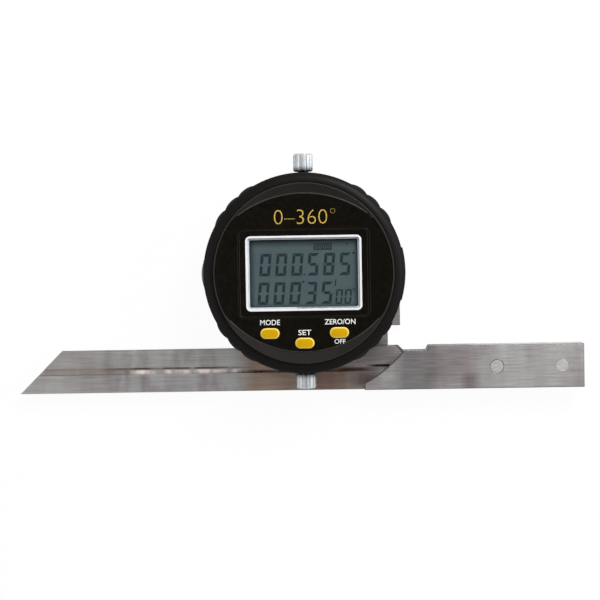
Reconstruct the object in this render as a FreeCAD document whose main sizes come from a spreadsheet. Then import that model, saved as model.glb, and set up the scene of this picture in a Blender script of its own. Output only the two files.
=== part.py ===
import FreeCAD, Part
import math
import os
import re
import Sketcher

# Digital universal bevel protractor, lying on its back with the display up.
# Origin: pivot axis on the back face of the stock plate.
# +X runs along the stock, +Y away from the working edges, +Z out of the display.
# All lengths are in millimetres and all angles in degrees.

SIZES = {
    # Stock: a back plate with a hub disc, and a front block joined to it by two pins
    "plate_thick": 2.6,
    "hub_disc_radius": 26.0,
    "stock_reach": 98.8,
    "stock_width": 15.5,
    "edge_drop": 42.2,
    "block_thick": 7.9,
    "block_tip": 20.8,
    "notch_length": 8.1,
    "notch_lean": 0.8,
    "notch_depth": 1.7,
    "knob_sweep_room": 2.8,
    "channel_wall": 7.4,
    "channel_play": 0.3,
    "edge_chamfer": 0.3,
    "pin_radius": 2.5,
    "pin_inset": 7.8,
    "pin_spacing": 23.2,
    "press_play": 0.02,
    "pin_recess": 0.2,
    "arm_inner": 8.0,
    "arm_top": 8.0,
    "arm_reach": 33.9,
    "arm_step": 19.6,
    "arm_neck": 29.4,
    # Blade: a ground trapezoid with a clamping groove along its front face
    "blade_length": 150.0,
    "blade_width": 15.3,
    "blade_thick": 2.0,
    "blade_reach": 103.0,
    "bevel_angle": 45.0,
    "groove_width": 2.3,
    "groove_depth": 0.9,
    "blade_play": 0.1,
    # Pivot: a fixed shaft in a bronze bush
    "shaft_radius": 8.0,
    "thread_radius": 6.0,
    "spigot_radius": 5.0,
    "spigot_length": 1.1,
    "running_fit": 0.05,
    "bush_wall": 1.95,
    "bush_recess": 0.2,
    "oil_groove_level": 2.4,
    "oil_groove_half": 0.6,
    "oil_groove_depth": 0.4,
    "washer_radius": 11.0,
    "washer_thick": 0.3,
    "nut_radius": 11.0,
    "nut_thick": 2.2,
    "nut_slot_width": 2.5,
    "nut_slot_depth": 1.6,
    "nut_slots": 4,
    "thrust_play": 0.1,
    "hub_screw_circle": 5.0,
    "hub_screws": 3,
    "hub_screw_radius": 1.2,
    "hub_head_radius": 2.2,
    "hub_screw_length": 7.8,
    # Turret plate: carries the blade against a straight shoulder and over a thin lip
    "turret_gap": 0.2,
    "turret_radius": 30.0,
    "lip_thick": 1.0,
    "lip_setback": 2.2,
    "guide_half": 18.0,
    "guide_top": 15.0,
    "boss_wall": 2.5,
    "boss_height": 6.6,
    "turret_screw_circle": 22.0,
    "turret_screws": 4,
    "turret_screw_radius": 1.2,
    "turret_head_radius": 2.3,
    "turret_screw_length": 7.6,
    # Base housing: machined body of the head, with the clamps and the battery bay
    "bay_roof": 1.2,
    "flange_step": 0.25,
    "flange_thick": 2.0,
    "case_screws": 4,
    "case_screw_radius": 0.65,
    "case_head_radius": 1.25,
    "case_screw_length": 6.4,
    "post_inset": 3.5,
    "post_radius": 1.8,
    "sensor_gap": 0.4,
    "posts": 3,
    "drill_room": 0.5,
    # Grip case: moulded ring with scalloped grips on the diagonals
    "case_radius": 35.05,
    "case_wall": 3.05,
    "case_height": 18.2,
    "shoulder_radius": 3.9,
    "shoulder_margin": 0.2,
    "header_gap": 1.8,
    "board_seat_thick": 1.5,
    "board_ledge": 2.0,
    "bezel_seat_width": 1.9,
    "bezel_seat_depth": 2.6,
    "lobe_rise": 0.65,
    "lobe_pitch": 10.6,
    "lobe_foot": 0.6,
    "grip_groups": 4,
    # Bezel, panel and display
    "case_lip": 3.55,
    "bezel_thick": 2.6,
    "bezel_ledge": 0.7,
    "bezel_chamfer": 0.25,
    "dish_rise": 0.65,
    "seal_thick": 0.4,
    "seal_inset": 0.3,
    "seal_width": 1.2,
    "panel_thick": 1.4,
    "panel_depth": 1.1,
    "panel_margin": 0.55,
    "top_crescent": 3.15,
    "top_flatter": 6.75,
    "bottom_crescent": 3.55,
    "bottom_flatter": 4.05,
    "panel_chamfer": 0.15,
    "snug": 0.1,
    "frame_width": 40.3,
    "frame_height": 26.1,
    "frame_corner": 1.7,
    "frame_border": 1.3,
    "frame_rebate": 0.7,
    "frame_sink": 0.15,
    "frame_thick": 1.55,
    "opening_corner": 0.6,
    "recess_side": 2.05,
    "recess_end": 1.9,
    "recess_corner": 1.2,
    "recess_depth": 0.2,
    "lens_thick": 0.5,
    "lens_sink": 0.25,
    "display_rim": 0.4,
    "display_thick": 2.0,
    "strip_width": 2.0,
    "strip_inset": 2.15,
    "strip_edge": 1.65,
    # Buttons and their mat
    "button_width": 6.8,
    "button_height": 3.75,
    "button_proud": 0.6,
    "button_travel": 0.6,
    "button_flange": 0.35,
    "flange_height": 0.9,
    "button_edge": 0.3,
    "button_gap": 0.12,
    "side_button_offset": 12.05,
    "set_button_margin": 3.1,
    "button_step": 3.5,
    "mat_thick": 0.8,
    "mat_side": 3.95,
    "mat_above": 3.3,
    "mat_below": 2.6,
    "tongue_half": 5.0,
    "tongue_below": 3.1,
    "dome_inset": 0.5,
    # Boards and encoder
    "board_thick": 1.6,
    "sensor_board_gap": 0.6,
    "sensor_board_bore": 7.0,
    "sensor_board_thick": 1.2,
    "encoder_room": 4.5,
    "encoder_thick": 0.8,
    "board_screw_radius": 0.7,
    "board_head_radius": 1.5,
    "board_head_height": 0.8,
    "board_screw_length": 3.4,
    "header_length": 10.0,
    "header_width": 2.5,
    "header_offset": 18.0,
    # Knobs, brake and claw
    "knob_radius": 3.5,
    "knob_gap": 0.1,
    "lock_knob_length": 6.3,
    "clamp_knob_length": 5.5,
    "neck_radius": 1.9,
    "stem_radius": 1.5,
    "knob_chamfer": 0.5,
    "flute_radius": 0.7,
    "flute_depth": 0.35,
    "flutes": 10,
    "stem_play": 0.05,
    "rod_depth": 2.95,
    "shoe_length": 1.5,
    "claw_half": 3.0,
    "claw_inset": 4.9,
    "claw_thick": 3.0,
    "claw_head_room": 0.5,
    "claw_arm_thick": 1.7,
    "claw_lift": 0.1,
    "tooth_thick": 1.1,
    "claw_travel": 0.4,
    # Battery tray on the right, data port on the left
    "bay_centre": 0.95,
    "tray_room": 2.9,
    "tray_end_wall": 0.4,
    "tray_side_wall": 1.25,
    "tray_floor": 0.6,
    "tray_proud": 0.1,
    "tray_play": 0.2,
    "bay_end_room": 0.4,
    "cell_height": 3.2,
    "cell_proud": 0.2,
    "cell_rim": 0.8,
    "cell_base_height": 0.5,
    "contact_thick": 0.25,
    "contact_width": 4.0,
    "contact_gap": 0.15,
    "contact_inner": 4.15,
    "contact_outer": 2.1,
    "port_height": 1.75,
    "port_radius": 4.0,
    "cover_radius": 5.25,
    "cover_sink": 0.65,
    "cover_rim": 0.95,
    "cover_groove": 0.2,
    "cover_groove_depth": 0.9,
    "cover_thick": 1.9,
    "dome_radius": 13.0,
    "plug_gap": 0.3,
    "socket_inset": 0.3,
    "socket_length": 5.0,
    "socket_width": 7.0,
    "socket_mouth_width": 5.2,
    "socket_mouth_height": 1.6,
    "socket_mouth_depth": 3.8,
    # How far a cut runs on past the solid
    "beyond": 1.0,
}

# Places that follow from the sizes above; each name may be used in the ones after it
PLACES = {
    "blade_top": "edge_drop - blade_width",
    "blade_mid": "edge_drop - blade_width / 2",
    "stock_mid": "edge_drop - stock_width / 2",
    "stock_top": "edge_drop - stock_width",
    "pin_far": "stock_reach - pin_inset",
    "pin_near": "pin_far - pin_spacing",
    "channel_end": "pin_near - channel_wall",
    "turret_back": "plate_thick + turret_gap",
    "blade_back": "turret_back + lip_thick + blade_play",
    "blade_front": "blade_back + blade_thick",
    "turret_front": "blade_front + blade_play",
    "turret_thick": "turret_front - turret_back",
    "shoulder_line": "blade_top - blade_play",
    "lip_reach": "edge_drop - lip_setback",
    "bush_bore": "shaft_radius + running_fit",
    "bush_radius": "bush_bore + bush_wall",
    "boss_radius": "bush_radius + boss_wall",
    "boss_top": "turret_front + boss_height",
    "shaft_top": "boss_top + thrust_play",
    "washer_top": "shaft_top + washer_thick",
    "nut_top": "washer_top + nut_thick",
    "case_bore": "case_radius - case_wall",
    "lobe_crest": "case_radius + lobe_rise",
    "base_radius": "case_bore - snug",
    "flange_radius": "case_radius - flange_step",
    "case_screw_circle": "(base_radius + flange_radius) / 2",
    "bay_height": "snug + tray_floor + cell_height + contact_gap + contact_thick",
    "base_height": "flange_thick + bay_height + bay_roof",
    "flange_top": "turret_front + flange_thick",
    "base_top": "turret_front + base_height",
    "knob_axis_height": "flange_thick + snug + neck_radius",
    "knob_level": "turret_front + knob_axis_height",
    "knob_start": "lobe_crest + knob_gap",
    "lock_knob_end": "knob_start + lock_knob_length",
    "lock_stem_start": "base_radius - rod_depth",
    "arc_radius": "lock_knob_end + knob_sweep_room",
    "notch_floor": "stock_top + notch_depth",
    "arc_end": "sqrt(arc_radius ^ 2 - notch_floor ^ 2)",
    "notch_start": "arc_end - notch_depth",
    "notch_end": "arc_end + notch_length",
    "sensor_board_back": "nut_top + encoder_thick + sensor_gap",
    "post_height": "sensor_board_back - base_top",
    "sensor_board_front": "sensor_board_back + sensor_board_thick",
    "board_back": "sensor_board_front + header_gap",
    "board_front": "board_back + board_thick",
    "board_seat_height": "board_back - flange_top",
    "bezel_seat_height": "case_height - bezel_seat_depth",
    "seal_back": "flange_top + bezel_seat_height",
    "bezel_back": "seal_back + seal_thick",
    "bezel_front": "bezel_back + bezel_thick",
    "bezel_radius": "case_radius - case_lip",
    "case_neck_bore": "bezel_radius - bezel_seat_width",
    "board_radius": "case_neck_bore - snug",
    "board_seat_bore": "board_radius - board_ledge",
    "seal_outer": "bezel_radius - seal_inset",
    "seal_inner": "seal_outer - seal_width",
    "panel_side_radius": "bezel_radius - panel_margin",
    "panel_top": "panel_side_radius - top_crescent",
    "panel_top_radius": "panel_side_radius + top_flatter",
    "panel_bottom": "panel_side_radius - bottom_crescent",
    "panel_bottom_radius": "panel_side_radius + bottom_flatter",
    "dish_foot": "min(panel_top, panel_bottom)",
    "bezel_rim": "bezel_thick + dish_rise",
    "panel_back": "bezel_front - panel_depth",
    "panel_front": "panel_back + panel_thick",
    "frame_front": "panel_front - frame_sink",
    "frame_back": "frame_front - frame_thick",
    "display_back": "frame_back - display_thick",
    "lens_front": "frame_front - lens_sink",
    "lens_back": "lens_front - lens_thick",
    "recess_width": "frame_width + 2 * recess_side",
    "recess_height": "frame_height + 2 * recess_end",
    "strip_length": "frame_width - 2 * strip_inset",
    "strip_offset": "frame_height / 2 - strip_edge",
    "set_button_drop": "panel_bottom - set_button_margin",
    "side_button_drop": "set_button_drop - button_step",
    "mat_half": "side_button_offset + mat_side",
    "mat_top": "side_button_drop - mat_above",
    "mat_bottom": "side_button_drop + mat_below",
    "tongue_bottom": "set_button_drop + tongue_below",
    "flange_front": "panel_back - snug",
    "button_back": "flange_front - flange_height",
    "button_front": "panel_front + button_proud",
    "mat_front": "button_back - button_travel - snug",
    "groove_wall": "blade_mid - groove_width / 2",
    "tooth_inner": "groove_wall + blade_play",
    "tooth_outer": "tooth_inner + tooth_thick",
    "clamp_knob_start": "max(knob_start, tooth_outer + knob_gap)",
    "clamp_knob_end": "clamp_knob_start + clamp_knob_length",
    "claw_outer": "base_radius - claw_inset",
    "claw_inner": "claw_outer - claw_thick",
    "claw_back": "turret_front + claw_lift",
    "claw_height": "knob_axis_height + stem_radius + claw_head_room",
    "hole_radius": "stem_radius + stem_play",
    "neck_hole": "neck_radius + stem_play",
    "tray_inner": "boss_radius + tray_room",
    "cell_radius": "(case_bore - tray_inner - tray_end_wall) / 2 - snug",
    "cell_centre": "case_bore - snug - cell_radius",
    "cell_base_radius": "cell_radius - cell_rim",
    "tray_width": "2 * (cell_radius + snug + tray_side_wall)",
    "tray_wall_height": "tray_floor + cell_height - cell_proud",
    "tray_front_height": "bay_height - snug - tray_play",
    "tray_outer_radius": "lobe_crest + tray_proud",
    "tray_back": "flange_top + snug",
    "cell_back": "tray_back + tray_floor",
    "bay_low": "-bay_centre - tray_width / 2 - tray_play",
    "bay_high": "-bay_centre + tray_width / 2 + tray_play",
    "contact_start": "cell_centre - contact_inner",
    "contact_end": "cell_centre + contact_outer",
    "contact_back": "flange_top + bay_height - contact_thick",
    "socket_outer": "base_radius - socket_inset",
    "socket_inner": "socket_outer - socket_length",
    "sensor_board_radius": "socket_inner - sensor_board_gap",
    "post_circle": "sensor_board_radius - post_inset",
    "encoder_radius": "post_circle - encoder_room",
    "port_level": "base_top + port_height",
    "cover_seat": "case_radius - cover_sink",
    "cover_reach": "cover_seat + cover_thick",
    "cover_plug_end": "case_bore + plug_gap",
}

# The grips and the screws of the head lie on the diagonals
DIAGONAL = 45

doc = FreeCAD.newDocument("bevel_protractor")
sheet = doc.addObject("Spreadsheet::Sheet", "Sizes")
for row, (alias, size) in enumerate(SIZES.items(), start=1):
    sheet.set(f"A{row}", alias)
    sheet.set(f"B{row}", str(size))
    sheet.setAlias(f"B{row}", alias)
doc.recompute()

sub_parts = []


def bound(text):
    """Turn plain size and place names into a sheet expression."""
    def swap(match):
        word = match.group()
        if word in SIZES:
            return "Sizes." + word
        if word in PLACES:
            return "(" + bound(PLACES[word]) + ")"
        return word
    return re.sub(r"[a-z][a-z_]*[a-z]", swap, text)


def number(text):
    """Value of a size expression, in mm or degrees."""
    return float(sheet.evalExpression(bound(text)))


def new_body(label, x="0", y="0", z="0", axis=None, angle=0, many=False):
    """A body named for its piece, placed by expressions and turned about one axis."""
    body = doc.addObject("PartDesign::Body", label)
    body.Label = label
    body.AllowCompound = many
    if axis:
        body.Placement = FreeCAD.Placement(FreeCAD.Vector(), FreeCAD.Rotation(axis, angle))
    for name, text in (("x", x), ("y", y), ("z", z)):
        if text != "0":
            body.setExpression("Placement.Base." + name, bound(text))
    sub_parts.append(body)
    return body


def origin_feature(body, role):
    """The body's own origin plane or axis with this role."""
    return next(item for item in body.Origin.OriginFeatures if item.Role == role)


def sketch_on(body, name, role="XY_Plane", offset=None):
    """A sketch on one of the body's origin planes, raised by an expression."""
    sketch = body.newObject("Sketcher::SketchObject", name)
    sketch.AttachmentSupport = [(origin_feature(body, role), "")]
    sketch.MapMode = "FlatFace"
    if offset:
        sketch.setExpression("AttachmentOffset.Base.z", bound(offset))
    return sketch


def pin_point(sketch, geometry, point, x, y):
    """Fix one point of a sketch at x, y, each an expression."""
    for kind, text, axis in (("DistanceX", x, -2), ("DistanceY", y, -1)):
        if text == "0":
            sketch.addConstraint(Sketcher.Constraint("PointOnObject", geometry, point, axis))
        else:
            rule = Sketcher.Constraint(kind, -1, 1, geometry, point, number(text))
            index = sketch.addConstraint(rule)
            sketch.setExpression(f"Constraints[{index}]", bound(text))


def pin_radius(sketch, geometry, radius):
    """Bind the radius of a circle or arc to an expression."""
    index = sketch.addConstraint(Sketcher.Constraint("Radius", geometry, number(radius)))
    sketch.setExpression(f"Constraints[{index}]", bound(radius))


def add_polygon(sketch, points):
    """Closed straight-sided outline through (x, y) expression pairs."""
    corners = [FreeCAD.Vector(number(x), number(y), 0) for x, y in points]
    first = sketch.GeometryCount
    count = len(points)
    for i in range(count):
        sketch.addGeometry(Part.LineSegment(corners[i], corners[(i + 1) % count]), False)
    for i in range(count):
        joint = Sketcher.Constraint("Coincident", first + i, 2, first + (i + 1) % count, 1)
        sketch.addConstraint(joint)
    for i, (x, y) in enumerate(points):
        pin_point(sketch, first + i, 1, x, y)


def add_rectangle(sketch, left, low, right, high):
    """Rectangle between two corners."""
    add_polygon(sketch, [(left, low), (right, low), (right, high), (left, high)])


def add_circle(sketch, radius, x="0", y="0"):
    """Circle about x, y."""
    centre = FreeCAD.Vector(number(x), number(y), 0)
    index = sketch.addGeometry(Part.Circle(centre, FreeCAD.Vector(0, 0, 1), number(radius)), False)
    if x == "0" and y == "0":
        sketch.addConstraint(Sketcher.Constraint("Coincident", index, 3, -1, 1))
    else:
        pin_point(sketch, index, 3, x, y)
    pin_radius(sketch, index, radius)


def add_arc(sketch, x, y, radius, start, end):
    """Arc about x, y from one angle to another; only its centre and radius are fixed."""
    centre = FreeCAD.Vector(number(x), number(y), 0)
    whole = Part.Circle(centre, FreeCAD.Vector(0, 0, 1), number(radius))
    arc = Part.ArcOfCircle(whole, math.radians(start), math.radians(end))
    index = sketch.addGeometry(arc, False)
    if x == "0" and y == "0":
        sketch.addConstraint(Sketcher.Constraint("Coincident", index, 3, -1, 1))
    else:
        pin_point(sketch, index, 3, x, y)
    pin_radius(sketch, index, radius)
    return index


def add_rounded_box(sketch, width, height, corner, x="0", y="0"):
    """Rectangle with round corners about x, y: arcs joined by tangent lines."""
    arcs = []
    for sign_x, sign_y, start in (("+", "+", 0), ("-", "+", 90), ("-", "-", 180), ("+", "-", 270)):
        arc_x = f"{x} {sign_x} (({width}) / 2 - ({corner}))"
        arc_y = f"{y} {sign_y} (({height}) / 2 - ({corner}))"
        arcs.append(add_arc(sketch, arc_x, arc_y, corner, start, start + 90))
    for i, arc in enumerate(arcs):
        follower = arcs[(i + 1) % 4]
        begin = sketch.getPoint(arc, 2)
        end = sketch.getPoint(follower, 1)
        line = sketch.addGeometry(Part.LineSegment(begin, end), False)
        sketch.addConstraint(Sketcher.Constraint("Tangent", arc, 2, line, 1))
        sketch.addConstraint(Sketcher.Constraint("Tangent", line, 2, follower, 1))


def add_stadium(sketch, width, height, x="0", y="0"):
    """Stadium with round ends about x, y."""
    half = f"(({width}) - ({height})) / 2"
    radius = f"({height}) / 2"
    right = add_arc(sketch, f"{x} + {half}", y, radius, -90, 90)
    left = add_arc(sketch, f"{x} - {half}", y, radius, 90, 270)
    for arc, follower in ((right, left), (left, right)):
        begin = sketch.getPoint(arc, 2)
        end = sketch.getPoint(follower, 1)
        line = sketch.addGeometry(Part.LineSegment(begin, end), False)
        sketch.addConstraint(Sketcher.Constraint("Tangent", arc, 2, line, 1))
        sketch.addConstraint(Sketcher.Constraint("Tangent", line, 2, follower, 1))


def join_chain(sketch, chain):
    """Close an outline whose lines and arcs follow each other, each ending where the next starts."""
    for item, following in zip(chain, chain[1:] + chain[:1]):
        sketch.addConstraint(Sketcher.Constraint("Coincident", item, 2, following, 1))


def add_line(sketch, x, y, far_x, far_y):
    """Straight line between two places, not yet fixed."""
    begin = FreeCAD.Vector(number(x), number(y), 0)
    end = FreeCAD.Vector(number(far_x), number(far_y), 0)
    return sketch.addGeometry(Part.LineSegment(begin, end), False)


def add_axis(sketch, x):
    """Construction line parallel to the sketch's second axis, to turn a profile about."""
    start = FreeCAD.Vector(number(x), 0, 0)
    end = FreeCAD.Vector(number(x), 1, 0)
    index = sketch.addGeometry(Part.LineSegment(start, end), True)
    pin_point(sketch, index, 1, x, "0")
    sketch.addConstraint(Sketcher.Constraint("Vertical", index))
    sketch.addConstraint(Sketcher.Constraint("DistanceY", index, 1, index, 2, 1.0))


def pad(body, sketch, length, both_ways=False, backwards=False):
    """Raise a sketch into a solid."""
    feature = body.newObject("PartDesign::Pad", sketch.Name + "_pad")
    feature.Profile = sketch
    feature.setExpression("Length", bound(length))
    feature.Midplane = both_ways
    feature.Reversed = backwards
    doc.recompute()
    return feature


def check_cut(body, feature, before):
    """Stop if a cut took nothing away."""
    doc.recompute()
    if not feature.Shape.Volume < before - 1e-6:
        raise RuntimeError(f"{body.Label}: {feature.Name} cuts nothing")
    return feature


def pocket(body, sketch, depth=None, backwards=False):
    """Cut a sketch into the solid: to a depth, or through all of it."""
    before = body.Tip.Shape.Volume
    feature = body.newObject("PartDesign::Pocket", sketch.Name + "_cut")
    feature.Profile = sketch
    if depth:
        feature.setExpression("Length", bound(depth))
    else:
        feature.Type = "ThroughAll"
    feature.Reversed = backwards
    return check_cut(body, feature, before)


def revolve(body, sketch, cut=False):
    """Turn a sketch about its construction axis, or about its own vertical axis."""
    kind = "PartDesign::Groove" if cut else "PartDesign::Revolution"
    before = body.Tip.Shape.Volume if cut else 0
    feature = body.newObject(kind, sketch.Name + "_turned")
    feature.Profile = sketch
    has_axis = any(sketch.getConstruction(i) for i in range(sketch.GeometryCount))
    feature.ReferenceAxis = (sketch, ["Axis0" if has_axis else "V_Axis"])
    feature.Angle = 360
    if cut:
        return check_cut(body, feature, before)
    doc.recompute()
    return feature


def around(body, feature, count, role="Z_Axis"):
    """Repeat a feature evenly about one of the body's axes."""
    pattern = body.newObject("PartDesign::PolarPattern", feature.Name + "_around")
    pattern.Originals = [feature]
    pattern.Axis = (origin_feature(body, role), [""])
    pattern.Angle = 360
    pattern.setExpression("Occurrences", bound(count))
    body.Tip = pattern
    doc.recompute()
    return pattern


def dress(body, kind, size, wanted):
    """Chamfer or fillet the edges of the body that pass a test."""
    base = body.Tip
    names = [f"Edge{i}" for i, edge in enumerate(base.Shape.Edges, start=1) if wanted(edge)]
    feature = body.newObject("PartDesign::" + kind, body.Name + "_" + kind.lower())
    feature.Base = (base, names)
    feature.setExpression("Size" if kind == "Chamfer" else "Radius", bound(size))
    doc.recompute()
    return feature


def lies_at(edge, level):
    """True for an edge that lies flat at this height in its body."""
    height = number(level)
    box = edge.BoundBox
    return abs(box.ZMin - height) < 1e-4 and abs(box.ZMax - height) < 1e-4


def ring(label, inner, outer, low, high):
    """Plain flat ring about the pivot axis."""
    body = new_body(label, z=low)
    sketch = sketch_on(body, label + "_outline")
    add_circle(sketch, outer)
    add_circle(sketch, inner)
    pad(body, sketch, f"{high} - ({low})")
    return body


def screw_seats(body, name, circle, count, hole, head, low, high, turn=None):
    """Countersunk holes on a circle, entered from below; turn is a place for the first one."""
    sketch = sketch_on(body, name, "XZ_Plane")
    slope = f"{low} + {head} - {hole}"
    points = [(circle, low), (f"{circle} + {head}", low), (f"{circle} + {hole}", slope)]
    points += [(f"{circle} + {hole}", high), (circle, high)]
    add_polygon(sketch, points)
    add_axis(sketch, circle)
    if turn:
        sketch.AttachmentOffset = FreeCAD.Placement(
            FreeCAD.Vector(), FreeCAD.Rotation(FreeCAD.Vector(0, 1, 0), turn))
    return around(body, revolve(body, sketch, cut=True), count)


def countersunk_screws(label, circle, count, shank, head, low, length, turn=0):
    """Countersunk screws on a circle about the pivot axis, heads down."""
    body = new_body(label, z=low, axis=FreeCAD.Vector(0, 0, 1), angle=turn, many=True)
    sketch = sketch_on(body, label + "_half", "XZ_Plane")
    slope = f"{head} - {shank}"
    points = [(circle, "0"), (f"{circle} + {head}", "0"), (f"{circle} + {shank}", slope)]
    points += [(f"{circle} + {shank}", length), (circle, length)]
    add_polygon(sketch, points)
    add_axis(sketch, circle)
    around(body, revolve(body, sketch), count)
    return body


def along_y(body, name, radius, start, end, level):
    """Round hole along Y between two places, at one height."""
    sketch = sketch_on(body, name, "XZ_Plane", f"-({start})")
    add_circle(sketch, radius, "0", level)
    pocket(body, sketch, f"{end} - ({start})")


def make_stock_plate():
    """Back plate: hub disc, an arm past the head, and the bar behind the block."""
    body = new_body("stock_plate")
    disc = sketch_on(body, "hub_disc")
    add_circle(disc, "hub_disc_radius")
    pad(body, disc, "plate_thick")
    arm = sketch_on(body, "arm_and_bar")
    add_polygon(arm, [
        ("arm_inner", "-arm_top"),
        ("arm_reach", "-arm_top"),
        ("arm_reach", "-arm_step"),
        ("arm_neck", "-arm_step"),
        ("arm_neck", "-stock_top"),
        ("notch_start", "-stock_top"),
        ("arc_end", "-notch_floor"),
        ("notch_end", "-notch_floor"),
        ("notch_end + notch_lean", "-stock_top"),
        ("stock_reach", "-stock_top"),
        ("stock_reach", "-edge_drop"),
        ("block_tip", "-edge_drop"),
        ("block_tip", "-stock_top"),
        ("arm_inner", "-arm_step"),
    ])
    pad(body, arm, "plate_thick")
    pins = sketch_on(body, "plate_pin_holes")
    add_circle(pins, "pin_radius + press_play", "pin_near", "-stock_mid")
    add_circle(pins, "pin_radius + press_play", "pin_far", "-stock_mid")
    pocket(body, pins, "plate_thick", backwards=True)
    screw_seats(body, "hub_screw_seats", "hub_screw_circle", "hub_screws",
                "hub_screw_radius + running_fit", "hub_head_radius + running_fit",
                "0", "plate_thick")
    dress(body, "Chamfer", "edge_chamfer", lambda edge: lies_at(edge, "0") and not edge.Closed)


def make_stock_block():
    """Front block: arc that clears the knobs, notch, and a channel for the blade."""
    body = new_body("stock_block", z="plate_thick")
    outline = sketch_on(body, "block_outline")
    add_polygon(outline, [
        ("block_tip", "-edge_drop"),
        ("stock_reach", "-edge_drop"),
        ("stock_reach", "-stock_top"),
        ("notch_end + notch_lean", "-stock_top"),
        ("notch_end", "-notch_floor"),
        ("block_tip", "-notch_floor"),
    ])
    pad(body, outline, "block_thick")
    sweep = sketch_on(body, "knob_sweep")
    add_circle(sweep, "arc_radius")
    pocket(body, sweep, backwards=True)
    channel = sketch_on(body, "blade_channel")
    add_rectangle(channel, "block_tip - beyond", "-edge_drop - beyond",
                  "channel_end", "-stock_top + beyond")
    pocket(body, channel, "blade_front + channel_play - plate_thick", backwards=True)
    pins = sketch_on(body, "block_pin_holes")
    add_circle(pins, "pin_radius + press_play", "pin_near", "-stock_mid")
    add_circle(pins, "pin_radius + press_play", "pin_far", "-stock_mid")
    pocket(body, pins, backwards=True)
    dress(body, "Chamfer", "edge_chamfer",
          lambda edge: lies_at(edge, "block_thick") and not edge.Closed)


def make_stock_pins():
    """Two dowels through the block and the plate."""
    body = new_body("stock_pins", z="pin_recess", many=True)
    ends = sketch_on(body, "pin_ends")
    add_circle(ends, "pin_radius", "pin_near", "-stock_mid")
    add_circle(ends, "pin_radius", "pin_far", "-stock_mid")
    pad(body, ends, "plate_thick + block_thick - pin_recess")
    dress(body, "Chamfer", "pin_recess", lambda edge: edge.Closed)


def make_pivot_shaft():
    """Fixed shaft: journal, threaded end for the nut, spigot for the encoder disc."""
    body = new_body("pivot_shaft", z="plate_thick")
    half = sketch_on(body, "shaft_half", "XZ_Plane")
    add_polygon(half, [
        ("0", "0"),
        ("shaft_radius", "0"),
        ("shaft_radius", "shaft_top - plate_thick"),
        ("thread_radius", "shaft_top - plate_thick"),
        ("thread_radius", "nut_top - plate_thick"),
        ("spigot_radius", "nut_top - plate_thick"),
        ("spigot_radius", "nut_top + spigot_length - plate_thick"),
        ("0", "nut_top + spigot_length - plate_thick"),
    ])
    revolve(body, half)
    threads = sketch_on(body, "hub_screw_holes")
    add_circle(threads, "hub_screw_radius + running_fit", "hub_screw_circle", "0")
    hole = pocket(body, threads, "hub_screw_length", backwards=True)
    around(body, hole, "hub_screws")


def make_shaft_fittings():
    """Screws, washer and slotted nut on the fixed shaft."""
    countersunk_screws("hub_screws", "hub_screw_circle", "hub_screws", "hub_screw_radius",
                       "hub_head_radius", "running_fit", "hub_screw_length")
    ring("friction_washer", "thread_radius + running_fit", "washer_radius",
         "shaft_top", "washer_top")
    nut = ring("shaft_nut", "thread_radius + running_fit", "nut_radius", "washer_top", "nut_top")
    slot = sketch_on(nut, "nut_slot")
    add_rectangle(slot, "nut_radius - nut_slot_depth", "-nut_slot_width / 2",
                  "nut_radius + beyond", "nut_slot_width / 2")
    around(nut, pocket(nut, slot, backwards=True), "nut_slots")
    ring("encoder_disc", "spigot_radius + running_fit", "encoder_radius",
         "nut_top", "nut_top + encoder_thick")


def make_turret_plate():
    """Rotating plate: straight shoulder and thin lip for the blade, boss for the bush."""
    body = new_body("turret_plate", z="turret_back")
    disc = sketch_on(body, "turret_disc")
    add_circle(disc, "turret_radius")
    pad(body, disc, "turret_thick")
    flat = sketch_on(body, "blade_side")
    add_rectangle(flat, "-turret_radius", "-turret_radius - beyond",
                  "turret_radius", "-shoulder_line")
    pocket(body, flat, backwards=True)
    guide = sketch_on(body, "guide_block")
    add_rectangle(guide, "-guide_half", "-shoulder_line", "guide_half", "-guide_top")
    pad(body, guide, "turret_thick")
    lip = sketch_on(body, "blade_lip")
    add_rectangle(lip, "-guide_half", "-lip_reach", "guide_half", "-guide_top")
    pad(body, lip, "lip_thick")
    boss = sketch_on(body, "boss")
    add_circle(boss, "boss_radius")
    pad(body, boss, "boss_top - turret_back")
    bore = sketch_on(body, "bush_seat")
    add_circle(bore, "bush_radius + press_play")
    pocket(body, bore, backwards=True)
    along_y(body, "shoe_hole", "hole_radius", "bush_radius - beyond",
            "boss_radius + beyond",
            "knob_level - turret_back")
    screw_seats(body, "turret_screw_seats", "turret_screw_circle", "turret_screws",
                "turret_screw_radius + running_fit", "turret_head_radius + running_fit",
                "0", "turret_thick", turn=DIAGONAL)
    dress(body, "Chamfer", "edge_chamfer",
          lambda edge: lies_at(edge, "0") and not edge.Closed)


def make_bearing_bush():
    """Bronze bush with an oil groove."""
    body = new_body("bearing_bush", z="turret_back + bush_recess")
    half = sketch_on(body, "bush_half", "XZ_Plane")
    top = "boss_top - turret_back - bush_recess"
    add_polygon(half, [
        ("bush_bore", "0"),
        ("bush_radius", "0"),
        ("bush_radius", top),
        ("bush_bore", top),
        ("bush_bore", "oil_groove_level + oil_groove_half"),
        ("bush_bore + oil_groove_depth", "oil_groove_level + oil_groove_half / 3"),
        ("bush_bore + oil_groove_depth", "oil_groove_level - oil_groove_half / 3"),
        ("bush_bore", "oil_groove_level - oil_groove_half"),
    ])
    revolve(body, half)
    along_y(body, "bush_shoe_hole", "hole_radius", "bush_bore - beyond",
            "bush_radius + beyond",
            "knob_level - turret_back - bush_recess")


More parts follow.
